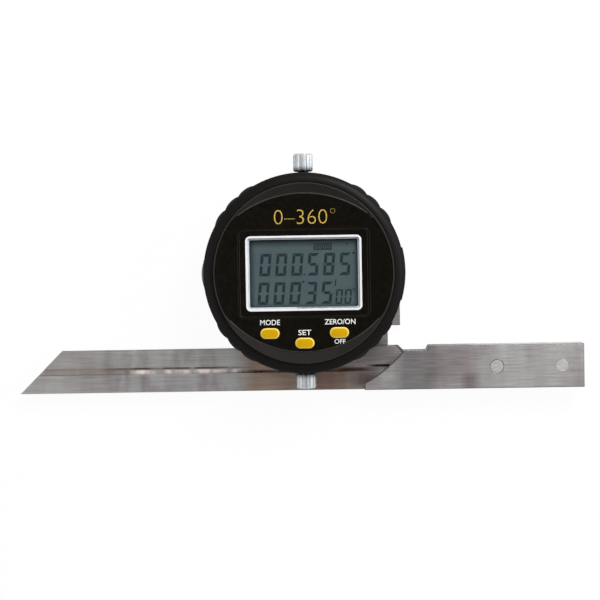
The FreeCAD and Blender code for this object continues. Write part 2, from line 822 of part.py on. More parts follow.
def make_base_housing():
    """Machined body of the head, standing on the turret plate."""
    body = new_body("base_housing", z="turret_front")
    flange = sketch_on(body, "flange")
    add_circle(flange, "flange_radius")
    pad(body, flange, "flange_thick")
    core = sketch_on(body, "core")
    add_circle(core, "base_radius")
    pad(body, core, "base_height")
    posts = sketch_on(body, "post")
    add_circle(posts, "post_radius", "0", "-post_circle")
    around(body, pad(body, posts, "base_height + post_height"), "posts")
    bore = sketch_on(body, "boss_bore")
    add_circle(bore, "boss_radius + running_fit")
    pocket(body, bore, "base_height", backwards=True)
    bay = sketch_on(body, "battery_bay", "YZ_Plane", "tray_inner - bay_end_room")
    add_rectangle(bay, "bay_low", "flange_thick", "bay_high", "flange_thick + bay_height")
    pocket(body, bay, "flange_radius", backwards=True)
    slit = sketch_on(body, "contact_slit")
    add_rectangle(slit, "contact_start - tray_play", "-bay_centre - contact_width / 2 - tray_play",
                  "contact_start + contact_thick + tray_play",
                  "-bay_centre + contact_width / 2 + tray_play")
    pocket(body, slit, "base_height", backwards=True)
    cavity = sketch_on(body, "claw_cavity")
    add_rectangle(cavity, "-claw_half - snug", "-claw_outer - snug",
                  "claw_half + snug", "-claw_inner + claw_travel")
    pocket(body, cavity, "claw_height + 2 * claw_lift", backwards=True)
    notch = sketch_on(body, "claw_notch")
    add_rectangle(notch, "-claw_half - snug", "-flange_radius - beyond",
                  "claw_half + snug", "-claw_inner")
    pocket(body, notch, "flange_thick", backwards=True)
    along_y(body, "lock_hole", "hole_radius", "boss_radius - beyond", "flange_radius",
            "knob_axis_height")
    along_y(body, "clamp_hole", "hole_radius", "-flange_radius", "-claw_outer + beyond",
            "knob_axis_height")
    fixing = sketch_on(body, "turret_screw_hole")
    across = "(turret_screw_circle) * sqrt(0.5)"
    add_circle(fixing, "turret_screw_radius + running_fit", across, across)
    tapped = pocket(body, fixing, "turret_screw_length - turret_thick + drill_room", backwards=True)
    around(body, tapped, "turret_screws")
    tap = sketch_on(body, "post_hole", "XY_Plane", "base_height + post_height")
    add_circle(tap, "board_screw_radius + running_fit", "0", "-post_circle")
    around(body, pocket(body, tap, "board_screw_length"), "posts")
    screw_seats(body, "case_screw_seats", "case_screw_circle", "case_screws",
                "case_screw_radius + running_fit", "case_head_radius + running_fit",
                "0", "flange_thick", turn=DIAGONAL)


def grip_lobes(sketch):
    """Closed outline of three convex lobes side by side about the sketch's first axis."""
    half = "lobe_pitch / 2"
    chord = f"case_radius * sin({half})"
    reach = f"(lobe_crest - case_radius * cos({half}))"
    radius = f"(({chord}) ^ 2 + {reach} ^ 2) / (2 * {reach})"
    inside = "(case_radius - lobe_rise)"
    valley = [f"({step} * lobe_pitch - {half})" for step in (-1, 0, 1, 2)]
    first = sketch.GeometryCount
    for step in (-1, 0, 1):
        turn = f"({step} * lobe_pitch)"
        centre_x = f"(lobe_crest - {radius}) * cos({turn})"
        centre_y = f"(lobe_crest - {radius}) * sin({turn})"
        x, y = number(centre_x), number(centre_y)
        ends = []
        for edge in valley[step + 1:step + 3]:
            edge_x = number(f"case_radius * cos({edge})")
            edge_y = number(f"case_radius * sin({edge})")
            ends.append(math.degrees(math.atan2(edge_y - y, edge_x - x)))
        add_arc(sketch, centre_x, centre_y, radius, *ends)
    corners = [(f"{inside} * cos({edge})", f"{inside} * sin({edge})")
               for edge in (valley[3], valley[0])]
    inner = [FreeCAD.Vector(number(x), number(y), 0) for x, y in corners]
    tips = [sketch.getPoint(first + 2, 2), sketch.getPoint(first, 1)]
    for begin, end in ((tips[0], inner[0]), (inner[0], inner[1]), (inner[1], tips[1])):
        sketch.addGeometry(Part.LineSegment(begin, end), False)
    joints = [(0, 2, 1, 1), (1, 2, 2, 1), (2, 2, 3, 1), (3, 2, 4, 1), (4, 2, 5, 1), (5, 2, 0, 1)]
    for one, one_end, other, other_end in joints:
        sketch.addConstraint(Sketcher.Constraint(
            "Coincident", first + one, one_end, first + other, other_end))
    for geometry, (x, y) in ((first + 4, corners[0]), (first + 5, corners[1])):
        pin_point(sketch, geometry, 1, x, y)
    edge_y = f"case_radius * sin({valley[3]})"
    for geometry, point, text in ((first + 2, 2, edge_y), (first, 1, f"-({edge_y})")):
        rule = Sketcher.Constraint("DistanceY", -1, 1, geometry, point, number(text))
        index = sketch.addConstraint(rule)
        sketch.setExpression(f"Constraints[{index}]", bound(text))


def make_grip_case():
    """Moulded ring of the head: scalloped grips, rounded shoulder, seats for board and bezel."""
    body = new_body("grip_case", z="flange_top")
    half = sketch_on(body, "case_half", "XZ_Plane")
    add_polygon(half, [
        ("case_bore", "0"),
        ("case_radius", "0"),
        ("case_radius", "case_height"),
        ("bezel_radius + snug", "case_height"),
        ("bezel_radius + snug", "bezel_seat_height"),
        ("case_neck_bore", "bezel_seat_height"),
        ("case_neck_bore", "board_seat_height"),
        ("board_seat_bore", "board_seat_height"),
        ("board_seat_bore", "board_seat_height - board_seat_thick"),
        ("case_bore", "board_seat_height - board_seat_thick"),
    ])
    revolve(body, half)
    grips = sketch_on(body, "grip_outline", "XY_Plane", "lobe_foot")
    grips.AttachmentOffset = FreeCAD.Placement(
        FreeCAD.Vector(0, 0, number("lobe_foot")), FreeCAD.Rotation(FreeCAD.Vector(0, 0, 1), DIAGONAL))
    grip_lobes(grips)
    around(body, pad(body, grips, "case_height - lobe_foot"), "grip_groups")
    shoulder = sketch_on(body, "shoulder", "XZ_Plane")
    outer = "lobe_crest + shoulder_margin"
    middle = f"{outer} - shoulder_radius"
    base = "case_height - shoulder_radius"
    far = f"{outer} + beyond"
    high = "case_height + beyond"
    corners = [(middle, "case_height"), (middle, high), (far, high), (far, base), (outer, base)]
    arc = add_arc(shoulder, middle, base, "shoulder_radius", 0, 90)
    lines = [add_line(shoulder, *corners[i], *corners[i + 1]) for i in range(4)]
    join_chain(shoulder, [arc] + lines)
    shoulder.addConstraint(Sketcher.Constraint("Vertical", lines[0]))
    shoulder.addConstraint(Sketcher.Constraint("Horizontal", lines[3]))
    for line, (x, y) in zip(lines[1:], corners[1:]):
        pin_point(shoulder, line, 1, x, y)
    revolve(body, shoulder, cut=True)
    level = "knob_axis_height - flange_thick"
    along_y(body, "lock_neck_hole", "neck_hole", "case_bore - beyond",
            "lobe_crest + beyond", level)
    along_y(body, "clamp_neck_hole", "neck_hole", "-lobe_crest - beyond",
            "-case_bore + beyond", level)
    bay = sketch_on(body, "battery_door", "YZ_Plane", "case_neck_bore")
    add_rectangle(bay, "bay_low", "0", "bay_high", "bay_height")
    pocket(body, bay, "lobe_crest", backwards=True)
    port = sketch_on(body, "port_hole", "YZ_Plane", "-lobe_crest - beyond")
    add_circle(port, "port_radius + running_fit", "0", "port_level - flange_top")
    pocket(body, port, "lobe_crest + beyond - case_neck_bore", backwards=True)
    face = sketch_on(body, "port_seat", "YZ_Plane", "-lobe_crest - beyond")
    add_circle(face, "cover_radius + snug", "0", "port_level - flange_top")
    pocket(body, face, "lobe_crest + beyond - cover_seat", backwards=True)
    tap = sketch_on(body, "case_screw_hole")
    across = "case_screw_circle * sqrt(0.5)"
    add_circle(tap, "case_screw_radius + running_fit", across, across)
    tapped = pocket(body, tap, "case_screw_length - flange_thick + drill_room", backwards=True)
    around(body, tapped, "case_screws")


def panel_outline(sketch, grow):
    """Round panel flattened by a wide arc above and another below, grown by a clearance."""
    side = f"panel_side_radius + {grow}"
    top = f"panel_top_radius + {grow}"
    low = f"panel_bottom_radius + {grow}"
    top_y = "panel_top - panel_top_radius"
    low_y = "panel_bottom_radius - panel_bottom"
    outlines = []
    for radius, centre in ((top, top_y), (low, low_y)):
        offset = number(centre)
        reach = number(radius)
        height = (number(side) ** 2 - reach ** 2 + offset ** 2) / (2 * offset)
        across = math.sqrt(number(side) ** 2 - height ** 2)
        outlines.append((math.atan2(height, across), math.atan2(height - offset, across)))
    (top_side, top_own), (low_side, low_own) = [
        [math.degrees(angle) for angle in pair] for pair in outlines]
    arcs = [
        add_arc(sketch, "0", "0", side, low_side, top_side),
        add_arc(sketch, "0", top_y, top, top_own, 180 - top_own),
        add_arc(sketch, "0", "0", side, 180 - top_side, 180 - low_side),
        add_arc(sketch, "0", low_y, low, 180 - low_own, 360 + low_own),
    ]
    for i, arc in enumerate(arcs):
        sketch.addConstraint(Sketcher.Constraint("Coincident", arc, 2, arcs[(i + 1) % 4], 1))


def make_bezel():
    """Dished front ring: two crescents slope in from its rim to the panel's recess."""
    body = new_body("bezel", z="bezel_back")
    half = sketch_on(body, "bezel_half", "XZ_Plane")
    add_polygon(half, [
        ("0", "0"),
        ("bezel_radius", "0"),
        ("bezel_radius", "bezel_rim - bezel_chamfer"),
        ("bezel_radius - bezel_chamfer", "bezel_rim"),
        ("dish_foot", "bezel_thick"),
        ("0", "bezel_thick"),
    ])
    revolve(body, half)
    recess = sketch_on(body, "panel_recess", "XY_Plane", "bezel_rim")
    panel_outline(recess, "snug")
    pocket(body, recess, "panel_depth + dish_rise")
    window = sketch_on(body, "inner_opening", "XY_Plane", "bezel_thick")
    panel_outline(window, "snug - bezel_ledge")
    pocket(body, window)


def make_front_panel():
    """Glossy panel with the display window, its shallow surround and the button holes."""
    body = new_body("front_panel", z="panel_back")
    outline = sketch_on(body, "panel_shape")
    panel_outline(outline, "0")
    pad(body, outline, "panel_thick - panel_chamfer")
    brow = sketch_on(body, "panel_brow", "XY_Plane", "panel_thick - panel_chamfer")
    panel_outline(brow, "0")
    bevelled = pad(body, brow, "panel_chamfer")
    bevelled.TaperAngle = -DIAGONAL
    doc.recompute()
    surround = sketch_on(body, "surround", "XY_Plane", "panel_thick")
    add_rounded_box(surround, "recess_width", "recess_height", "recess_corner")
    pocket(body, surround, "recess_depth")
    window = sketch_on(body, "window")
    add_rounded_box(window, "frame_width + 2 * snug", "frame_height + 2 * snug",
                    "frame_corner + snug")
    pocket(body, window, backwards=True)
    for name, x, y in BUTTONS:
        hole = sketch_on(body, name + "_hole")
        add_stadium(hole, "button_width + 2 * button_gap", "button_height + 2 * button_gap", x, y)
        pocket(body, hole, backwards=True)


def make_display():
    """White frame, clear lens, display and the rubber strips that feed it."""
    frame = new_body("display_frame", z="frame_back")
    outline = sketch_on(frame, "frame_outline")
    add_rounded_box(outline, "frame_width", "frame_height", "frame_corner")
    pad(frame, outline, "frame_thick")
    opening = sketch_on(frame, "frame_opening")
    add_rounded_box(opening, "frame_width - 2 * frame_border", "frame_height - 2 * frame_border",
                    "opening_corner")
    pocket(frame, opening, backwards=True)
    rebate = sketch_on(frame, "lens_rebate", "XY_Plane", "frame_thick")
    add_rounded_box(rebate, "frame_width - 2 * frame_rebate", "frame_height - 2 * frame_rebate",
                    "frame_corner - frame_rebate")
    pocket(frame, rebate, "lens_thick + lens_sink")
    lens = new_body("display_lens", z="lens_back")
    pane = sketch_on(lens, "lens_outline")
    add_rounded_box(pane, "frame_width - 2 * frame_rebate - snug",
                    "frame_height - 2 * frame_rebate - snug", "frame_corner - frame_rebate")
    pad(lens, pane, "lens_thick")
    module = new_body("display_module", z="display_back")
    glass = sketch_on(module, "display_outline")
    half_width = "frame_width / 2 - display_rim"
    half_height = "frame_height / 2 - display_rim"
    add_rectangle(glass, "-" + f"({half_width})", f"-({half_height})", half_width, half_height)
    pad(module, glass, "display_thick")
    strips = new_body("contact_strips", z="board_front", many=True)
    feet = sketch_on(strips, "strip_feet")
    low = "strip_offset - strip_width / 2"
    high = "strip_offset + strip_width / 2"
    half = "strip_length / 2"
    add_rectangle(feet, "-" + half, low, half, high)
    add_rectangle(feet, "-" + half, f"-({high})", half, f"-({low})")
    pad(strips, feet, "display_back - board_front")


def make_buttons():
    """Three keys, each with a flange that the panel holds in, and the mat behind them."""
    for name, x, y in BUTTONS:
        body = new_body(name, x=x, y=y, z="button_back")
        foot = sketch_on(body, name + "_flange")
        add_stadium(foot, "button_width + 2 * button_flange",
                    "button_height + 2 * button_flange")
        pad(body, foot, "flange_height")
        cap = sketch_on(body, name + "_cap")
        add_stadium(cap, "button_width", "button_height")
        pad(body, cap, "button_front - button_back")
        dress(body, "Chamfer", "button_edge",
              lambda edge: lies_at(edge, "button_front - button_back"))
    mat = new_body("keypad_mat", z="board_front")
    sheet_outline = sketch_on(mat, "mat_outline")
    add_polygon(sheet_outline, [
        ("-mat_half", "-mat_bottom"),
        ("-tongue_half", "-mat_bottom"),
        ("-tongue_half", "-tongue_bottom"),
        ("tongue_half", "-tongue_bottom"),
        ("tongue_half", "-mat_bottom"),
        ("mat_half", "-mat_bottom"),
        ("mat_half", "-mat_top"),
        ("-mat_half", "-mat_top"),
    ])
    pad(mat, sheet_outline, "mat_thick")
    for name, x, y in BUTTONS:
        dome = sketch_on(mat, name + "_dome")
        add_stadium(dome, "button_width - 2 * dome_inset",
                    "button_height - 2 * dome_inset", x, y)
        pad(mat, dome, "mat_front - board_front")


def make_boards():
    """Main board under the display, sensor board over the encoder disc, and what joins them."""
    board = new_body("circuit_board", z="board_back")
    outline = sketch_on(board, "board_outline")
    add_circle(outline, "board_radius")
    pad(board, outline, "board_thick")
    sensor = ring("sensor_board", "sensor_board_bore", "sensor_board_radius",
                  "sensor_board_back", "sensor_board_front")
    holes = sketch_on(sensor, "sensor_board_hole")
    add_circle(holes, "board_screw_radius + snug", "0", "-post_circle")
    around(sensor, pocket(sensor, holes, backwards=True), "posts")
    screws = new_body("board_screws", z="sensor_board_front + board_head_height", many=True,
                      axis=FreeCAD.Vector(1, 0, 0), angle=180)
    half = sketch_on(screws, "board_screw_half", "YZ_Plane")
    circle = "post_circle"
    length = "board_head_height + board_screw_length"
    add_polygon(half, [
        (circle, "0"),
        (f"{circle} + board_head_radius", "0"),
        (f"{circle} + board_head_radius", "board_head_height"),
        (f"{circle} + board_screw_radius", "board_head_height"),
        (f"{circle} + board_screw_radius", length),
        (circle, length),
    ])
    add_axis(half, circle)
    around(screws, revolve(screws, half), "posts")
    header = new_body("pin_header", y="header_offset", z="sensor_board_front")
    block = sketch_on(header, "header_block")
    add_rectangle(block, "-header_length / 2", "-header_width / 2",
                  "header_length / 2", "header_width / 2")
    pad(header, block, "board_back - sensor_board_front")


def make_knob(label, start, end, stem, up):
    """Fluted screw knob on a radial axis: stem, neck and head, turned about its own Z."""
    angle = -90 if up else 90
    body = new_body(label, z="knob_level", axis=FreeCAD.Vector(1, 0, 0), angle=angle)
    half = sketch_on(body, label + "_half", "XZ_Plane")
    add_polygon(half, [
        ("0", stem),
        ("stem_radius", stem),
        ("stem_radius", "case_bore + snug"),
        ("neck_radius", "case_bore + snug"),
        ("neck_radius", start),
        ("knob_radius - knob_chamfer", start),
        ("knob_radius", f"{start} + knob_chamfer"),
        ("knob_radius", f"{end} - knob_chamfer"),
        ("knob_radius - knob_chamfer", end),
        ("0", end),
    ])
    revolve(body, half)
    flute = sketch_on(body, label + "_flute", "XY_Plane", start)
    add_circle(flute, "flute_radius", "knob_radius + flute_radius - flute_depth")
    around(body, pocket(body, flute, f"{end} - {start}", backwards=True), "flutes")


def make_clamps():
    """Knobs, the brake that grips the shaft, and the claw that draws the blade up."""
    make_knob("lock_knob", "knob_start", "lock_knob_end", "lock_stem_start", up=True)
    make_knob("blade_clamp_knob", "clamp_knob_start", "clamp_knob_end", "claw_outer + stem_play",
              up=False)
    shoe_end = "bush_bore + running_fit"
    for label, start, end in (
            ("brake_shoe", shoe_end, shoe_end + " + shoe_length"),
            ("brake_rod", shoe_end + " + shoe_length", "lock_stem_start - stem_play")):
        body = new_body(label, y=start, z="knob_level", axis=FreeCAD.Vector(1, 0, 0), angle=-90)
        end_face = sketch_on(body, label + "_end")
        add_circle(end_face, "stem_radius")
        pad(body, end_face, f"{end} - ({start})")
    claw = new_body("clamp_claw")
    profile = sketch_on(claw, "claw_profile", "YZ_Plane")
    tooth_tip = "blade_front - groove_depth + blade_play"
    arm_top = "claw_back + claw_arm_thick"
    add_polygon(profile, [
        ("-tooth_outer", tooth_tip),
        ("-tooth_inner", tooth_tip),
        ("-tooth_inner", "claw_back"),
        ("-claw_inner", "claw_back"),
        ("-claw_inner", "claw_back + claw_height"),
        ("-claw_outer", "claw_back + claw_height"),
        ("-claw_outer", arm_top),
        ("-tooth_outer", arm_top),
    ])
    pad(claw, profile, "2 * claw_half", both_ways=True)


def make_blade():
    """Ground steel blade with slanted ends and a groove along its front."""
    body = new_body("blade", z="blade_back")
    outline = sketch_on(body, "blade_outline")
    right = "blade_length - blade_reach"
    slant = "blade_width / tan(bevel_angle)"
    add_polygon(outline, [
        ("-blade_reach", "-edge_drop"),
        (right, "-edge_drop"),
        (f"{right} - {slant}", "-blade_top"),
        (f"-blade_reach + {slant}", "-blade_top"),
    ])
    pad(body, outline, "blade_thick")
    groove = sketch_on(body, "clamp_groove", "XY_Plane", "blade_thick")
    add_rectangle(groove, "-blade_reach - beyond", "-blade_mid - groove_width / 2",
                  right + " + beyond", "-blade_mid + groove_width / 2")
    pocket(body, groove, "groove_depth")


def make_battery():
    """Sliding tray with a curved front, its coin cell, and the spring contact over it."""
    tray = new_body("battery_tray", z="tray_back")
    low = "-bay_centre - tray_width / 2"
    high = "-bay_centre + tray_width / 2"
    floor = sketch_on(tray, "tray_outline")
    add_rectangle(floor, "tray_inner", low, "tray_outer_radius + beyond", high)
    pad(tray, floor, "tray_wall_height")
    front = sketch_on(tray, "tray_front_block")
    add_rectangle(front, "case_bore", low, "tray_outer_radius + beyond", high)
    pad(tray, front, "tray_front_height")
    curve = sketch_on(tray, "tray_curve")
    add_circle(curve, "tray_outer_radius")
    add_circle(curve, "2 * tray_outer_radius")
    pocket(tray, curve, backwards=True)
    seat = sketch_on(tray, "cell_seat", "XY_Plane", "tray_floor")
    add_circle(seat, "cell_radius + snug", "cell_centre", "-bay_centre")
    pocket(tray, seat, "tray_front_height", backwards=True)
    cell = new_body("battery_cell", x="cell_centre", y="-bay_centre", z="cell_back")
    half = sketch_on(cell, "cell_half", "XZ_Plane")
    add_polygon(half, [
        ("0", "0"),
        ("cell_base_radius", "0"),
        ("cell_base_radius", "cell_base_height"),
        ("cell_radius", "cell_base_height"),
        ("cell_radius", "cell_height"),
        ("0", "cell_height"),
    ])
    revolve(cell, half)
    contact = new_body("battery_contact", y="-bay_centre")
    strip = sketch_on(contact, "contact_profile", "XZ_Plane")
    riser = "contact_start + contact_thick"
    leg_top = "contact_back + contact_thick"
    add_polygon(strip, [
        ("contact_start", "contact_back"),
        ("contact_end", "contact_back"),
        ("contact_end", leg_top),
        (riser, leg_top),
        (riser, "sensor_board_back"),
        ("contact_start", "sensor_board_back"),
    ])
    pad(contact, strip, "contact_width", both_ways=True)


def make_data_port():
    """Socket on the base housing and the ribbed cover that plugs the hole over it."""
    socket = new_body("data_socket", z="base_top")
    block = sketch_on(socket, "socket_block")
    add_rectangle(block, "-socket_outer", "-socket_width / 2", "-socket_inner", "socket_width / 2")
    pad(socket, block, "2 * port_height")
    mouth = sketch_on(socket, "socket_mouth", "YZ_Plane", "-socket_outer")
    add_rectangle(mouth, "-socket_mouth_width / 2", "port_height - socket_mouth_height / 2",
                  "socket_mouth_width / 2", "port_height + socket_mouth_height / 2")
    pocket(socket, mouth, "socket_mouth_depth", backwards=True)
    cover = new_body("data_port_cover", z="port_level", axis=FreeCAD.Vector(0, 1, 0), angle=-90)
    half = sketch_on(cover, "cover_half", "XZ_Plane")
    rim_top = "cover_seat + cover_rim"
    dome_foot = f"{rim_top} + cover_groove"
    dome_centre = "cover_reach - dome_radius"
    dome_rise = number(dome_foot) - number(dome_centre)
    dome_half = math.sqrt(number("dome_radius") ** 2 - dome_rise ** 2)
    groove_side = "cover_radius - cover_groove_depth"
    corners = [
        ("0", "cover_plug_end"),
        ("port_radius", "cover_plug_end"),
        ("port_radius", "cover_seat + running_fit"),
        ("cover_radius", "cover_seat + running_fit"),
        ("cover_radius", rim_top),
        (groove_side, rim_top),
        (groove_side, dome_foot),
        (str(dome_half), dome_foot),
    ]
    lines = [add_line(half, *corners[i], *corners[i + 1]) for i in range(7)]
    dome = add_arc(half, "0", dome_centre, "dome_radius",
                   math.degrees(math.atan2(dome_rise, dome_half)), 90)
    axis = add_line(half, "0", "cover_reach", *corners[0])
    join_chain(half, lines + [dome, axis])
    for line, (x, y) in zip(lines, corners):
        pin_point(half, line, 1, x, y)
    half.addConstraint(Sketcher.Constraint("Horizontal", lines[6]))
    half.addConstraint(Sketcher.Constraint("Vertical", axis))
    revolve(cover, half)


BUTTONS = [
    ("mode_button", "-side_button_offset", "-side_button_drop"),
    ("set_button", "0", "-set_button_drop"),
    ("zero_button", "side_button_offset", "-side_button_drop"),
]

make_stock_plate()
make_stock_block()
make_stock_pins()
make_pivot_shaft()
make_shaft_fittings()
make_turret_plate()
make_bearing_bush()
countersunk_screws("turret_screws", "turret_screw_circle", "turret_screws", "turret_screw_radius",
                   "turret_head_radius", "turret_back + running_fit", "turret_screw_length",
                   DIAGONAL)
make_base_housing()
countersunk_screws("case_screws", "case_screw_circle", "case_screws", "case_screw_radius",
                   "case_head_radius", "turret_front + running_fit", "case_screw_length",
                   DIAGONAL)
make_grip_case()
ring("seal_ring", "seal_inner", "seal_outer", "seal_back", "bezel_back")
make_bezel()
make_front_panel()
make_display()
make_buttons()
make_boards()
make_clamps()
make_blade()
make_battery()
make_data_port()
doc.recompute()

for item in doc.Objects:
    if "Invalid" in item.State or "Error" in item.State:
        raise RuntimeError(f"{item.Label} failed: {item.State}")
for body in sub_parts:
    if body.Shape.isNull() or not body.Shape.isValid() or not body.Shape.Solids:
        raise RuntimeError(f"{body.Label} has no valid solid")

os.makedirs("parts", exist_ok=True)
for body in sub_parts:
    body.Shape.exportStep(os.path.join("parts", body.Label + ".step"))
    print(f"{body.Label}: {len(body.Shape.Solids)} solid(s), {body.Shape.Volume:.1f} mm3")
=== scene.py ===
import math
import bmesh
import bpy
from mathutils import Euler, Matrix, Vector
from mathutils.bvhtree import BVHTree


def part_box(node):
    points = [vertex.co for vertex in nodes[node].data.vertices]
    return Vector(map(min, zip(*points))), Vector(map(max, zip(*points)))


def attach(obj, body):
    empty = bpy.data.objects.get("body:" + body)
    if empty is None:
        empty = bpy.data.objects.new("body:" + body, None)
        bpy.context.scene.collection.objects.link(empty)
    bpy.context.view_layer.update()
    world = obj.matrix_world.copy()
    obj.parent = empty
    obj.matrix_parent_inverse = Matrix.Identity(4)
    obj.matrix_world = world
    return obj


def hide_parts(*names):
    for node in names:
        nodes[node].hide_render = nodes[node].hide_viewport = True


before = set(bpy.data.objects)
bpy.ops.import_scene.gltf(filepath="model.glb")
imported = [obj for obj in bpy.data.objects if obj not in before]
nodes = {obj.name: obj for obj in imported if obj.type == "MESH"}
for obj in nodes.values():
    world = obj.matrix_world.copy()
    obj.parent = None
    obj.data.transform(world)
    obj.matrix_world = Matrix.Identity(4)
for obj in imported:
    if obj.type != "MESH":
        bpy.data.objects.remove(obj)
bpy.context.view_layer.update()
MM = 0.001

# Where the camera stands, fitted to the photograph: millimetres, radians and pixels.
LOOK_AT = Vector((-2.028, -10.050, 0.0)) * MM
CAMERA_DISTANCE = 681.2 * MM
TILT_X = 0.0284
TILT_Y = -0.0221
ROLL = 0.0160
FOCAL_PIXELS = 1885.6
FRAME_PIXELS = 600
SENSOR_WIDTH = 36.0

# The panel's face and the display's face, as the CAD has them, and how far ink stands off them.
PANEL_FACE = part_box("front_panel")[1].z
DISPLAY_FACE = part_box("display_module")[1].z
INK_LIFT = 0.015 * MM

# Nearly all values of a noise texture lie between these.
NOISE_LOW = 0.3
NOISE_HIGH = 0.7
# The detail and roughness of the noise that makes patches of tone, and of the one for grain.
PATCH_NOISE = (5.0, 0.6)
GRAIN_NOISE = (3.0, 0.55)

# The tone of rounded edges, partly wear and partly a painted highlight: how finely they are
# sampled, and where it begins and is full, as the cosine of the angle that the rounding turns
# them by.
BEVEL_SAMPLES = 6
EDGE_TONE_START = 0.985
EDGE_TONE_FULL = 0.80


def tone(code):
    """An sRGB hex colour as the linear one that the shaders take."""
    parts = [int(code[at:at + 2], 16) / 255 for at in (1, 3, 5)]
    linear = [part / 12.92 if part <= 0.04045 else ((part + 0.055) / 1.055) ** 2.4
              for part in parts]
    return (*linear, 1.0)


def add_node(tree, kind, settings=None, sockets=None, stops=None):
    """Adds one node with its settings, the values or links of its sockets, and a ramp's stops."""
    node = tree.nodes.new(kind)
    for setting, value in (settings or {}).items():
        setattr(node, setting, value)
    for socket, value in (sockets or {}).items():
        if isinstance(value, bpy.types.NodeSocket):
            tree.links.new(value, node.inputs[socket])
        else:
            node.inputs[socket].default_value = value
    for at, (position, colour) in enumerate(stops or []):
        stop = node.color_ramp.elements[at] if at < 2 else node.color_ramp.elements.new(position)
        stop.position = position
        stop.color = colour
    return node


def calculate(tree, operation, *values):
    """One step of arithmetic with sockets or numbers."""
    return add_node(tree, "ShaderNodeMath", {"operation": operation},
                    dict(enumerate(values))).outputs[0]


def spread(tree, value, start, end, low=0.0, high=1.0, soft=False):
    """Makes what runs from start to end run from low to high, and hold still beyond them."""
    settings = {"interpolation_type": "SMOOTHSTEP"} if soft else None
    return add_node(tree, "ShaderNodeMapRange", settings,
                    {"Value": value, "From Min": start, "From Max": end, "To Min": low,
                     "To Max": high}).outputs["Result"]


def noise(tree, place, size, detail, roughness=0.5):
    """A noise texture whose largest spots have about that size in millimetres."""
    return add_node(tree, "ShaderNodeTexNoise", None,
                    {"Vector": place, "Scale": 1 / (size * MM), "Detail": detail,
                     "Roughness": roughness}).outputs["Fac"]


def make_finish(name, tones, roughness, patch, grain, relief, stretch=(1, 1, 1), edge=None,
                edge_width=0.25, **sockets):
    """A surface in two tones. The lengths are in millimetres: patch is how large the patches of
    tone are, grain and relief how wide and high the texture is, and edge_width how far the
    rounding and the edge tone reach. edge is the tone of an edge: partly wear, partly a painted
    highlight."""
    material = bpy.data.materials.new(name)
    material.use_nodes = True
    tree = material.node_tree
    shader = tree.nodes["Principled BSDF"]
    for socket, value in sockets.items():
        shader.inputs[socket.replace("_", " ")].default_value = value
    place = add_node(tree, "ShaderNodeTexCoord").outputs["Object"]
    drawn = add_node(tree, "ShaderNodeMapping", None,
                     {"Vector": place, "Scale": stretch}).outputs[0]
    patches = noise(tree, drawn, patch, *PATCH_NOISE)
    texture = noise(tree, drawn, grain, *GRAIN_NOISE)
    colour = add_node(tree, "ShaderNodeValToRGB", None, {"Fac": patches},
                      [(NOISE_LOW, tone(tones[0])), (NOISE_HIGH, tone(tones[1]))]).outputs["Color"]
    rounded = add_node(tree, "ShaderNodeBevel", {"samples": BEVEL_SAMPLES},
                       {"Radius": edge_width * MM}).outputs[0]
    # The edge tone is partly wear and partly a painted highlight along the rounded edge.
    if edge:
        flat = add_node(tree, "ShaderNodeNewGeometry").outputs["Normal"]
        turned = add_node(tree, "ShaderNodeVectorMath", {"operation": "DOT_PRODUCT"},
                          {0: rounded, 1: flat}).outputs["Value"]
        edge_wear_and_highlight = spread(tree, turned, EDGE_TONE_START, EDGE_TONE_FULL)
        colour = add_node(tree, "ShaderNodeMix", {"data_type": "RGBA"},
                          {0: edge_wear_and_highlight, 6: colour, 7: tone(edge)}).outputs[2]
    rough = spread(tree, texture, NOISE_LOW, NOISE_HIGH, *roughness)
    bump = add_node(tree, "ShaderNodeBump", None,
                    {"Height": texture, "Distance": relief * MM, "Normal": rounded}).outputs[0]
    tree.links.new(colour, shader.inputs["Base Color"])
    tree.links.new(rough, shader.inputs["Roughness"])
    tree.links.new(bump, shader.inputs["Normal"])
    return {"material": material, "tree": tree, "shader": shader, "place": place, "colour": colour,
            "rough": rough, "rounded": rounded, "bump": bump}


def lay_grain_along(finish, direction, anisotropy):
    """Turns the highlight of a ground or brushed metal across its lines."""
    tree = finish["tree"]
    lines = add_node(tree, "ShaderNodeVectorTransform",
                     {"vector_type": "VECTOR", "convert_from": "OBJECT", "convert_to": "WORLD"},
                     {"Vector": direction}).outputs[0]
    finish["shader"].inputs["Anisotropic"].default_value = anisotropy
    tree.links.new(lines, finish["shader"].inputs["Tangent"])


def lay_tint(finish, mask, code, blend="MULTIPLY"):
    """Lays a tint over the colour of a finish, as much as the mask says."""
    finish["colour"] = add_node(finish["tree"], "ShaderNodeMix",
                                {"data_type": "RGBA", "blend_type": blend},
                                {0: mask, 6: finish["colour"], 7: tone(code)}).outputs[2]
    finish["tree"].links.new(finish["colour"], finish["shader"].inputs["Base Color"])


def cloud_mask(finish, size, stretch, low, high):
    """Soft clouds of that size in millimetres: 0 below low, 1 above high."""
    tree = finish["tree"]
    drawn = add_node(tree, "ShaderNodeMapping", None,
                     {"Vector": finish["place"], "Scale": stretch}).outputs[0]
    return spread(tree, noise(tree, drawn, size, *GRAIN_NOISE), low, high)


# The clouds of a mark are twice as long across the bar as along it.
MARK_STRETCH = (1.0, 0.5, 0.5)


def lay_marks(finish, marks):
    """Lays tints on parts of a surface, each as its row says."""
    tree = finish["tree"]
    parts = add_node(tree, "ShaderNodeSeparateXYZ", None, {0: finish["place"]}).outputs
    for y, width, x, length, fading, grain, (low, high), code, blend in marks:
        mask = cloud_mask(finish, grain, MARK_STRETCH, low, high)
        for axis, middle, size, soft in (("Y", y, width, min(fading, width / 2)),
                                         ("X", x, length, fading)):
            off = calculate(tree, "ABSOLUTE", calculate(tree, "SUBTRACT", parts[axis], middle * MM))
            inside = spread(tree, off, (size + soft) / 2 * MM, (size - soft) / 2 * MM)
            mask = calculate(tree, "MULTIPLY", mask, inside)
        lay_tint(finish, mask, code, blend)


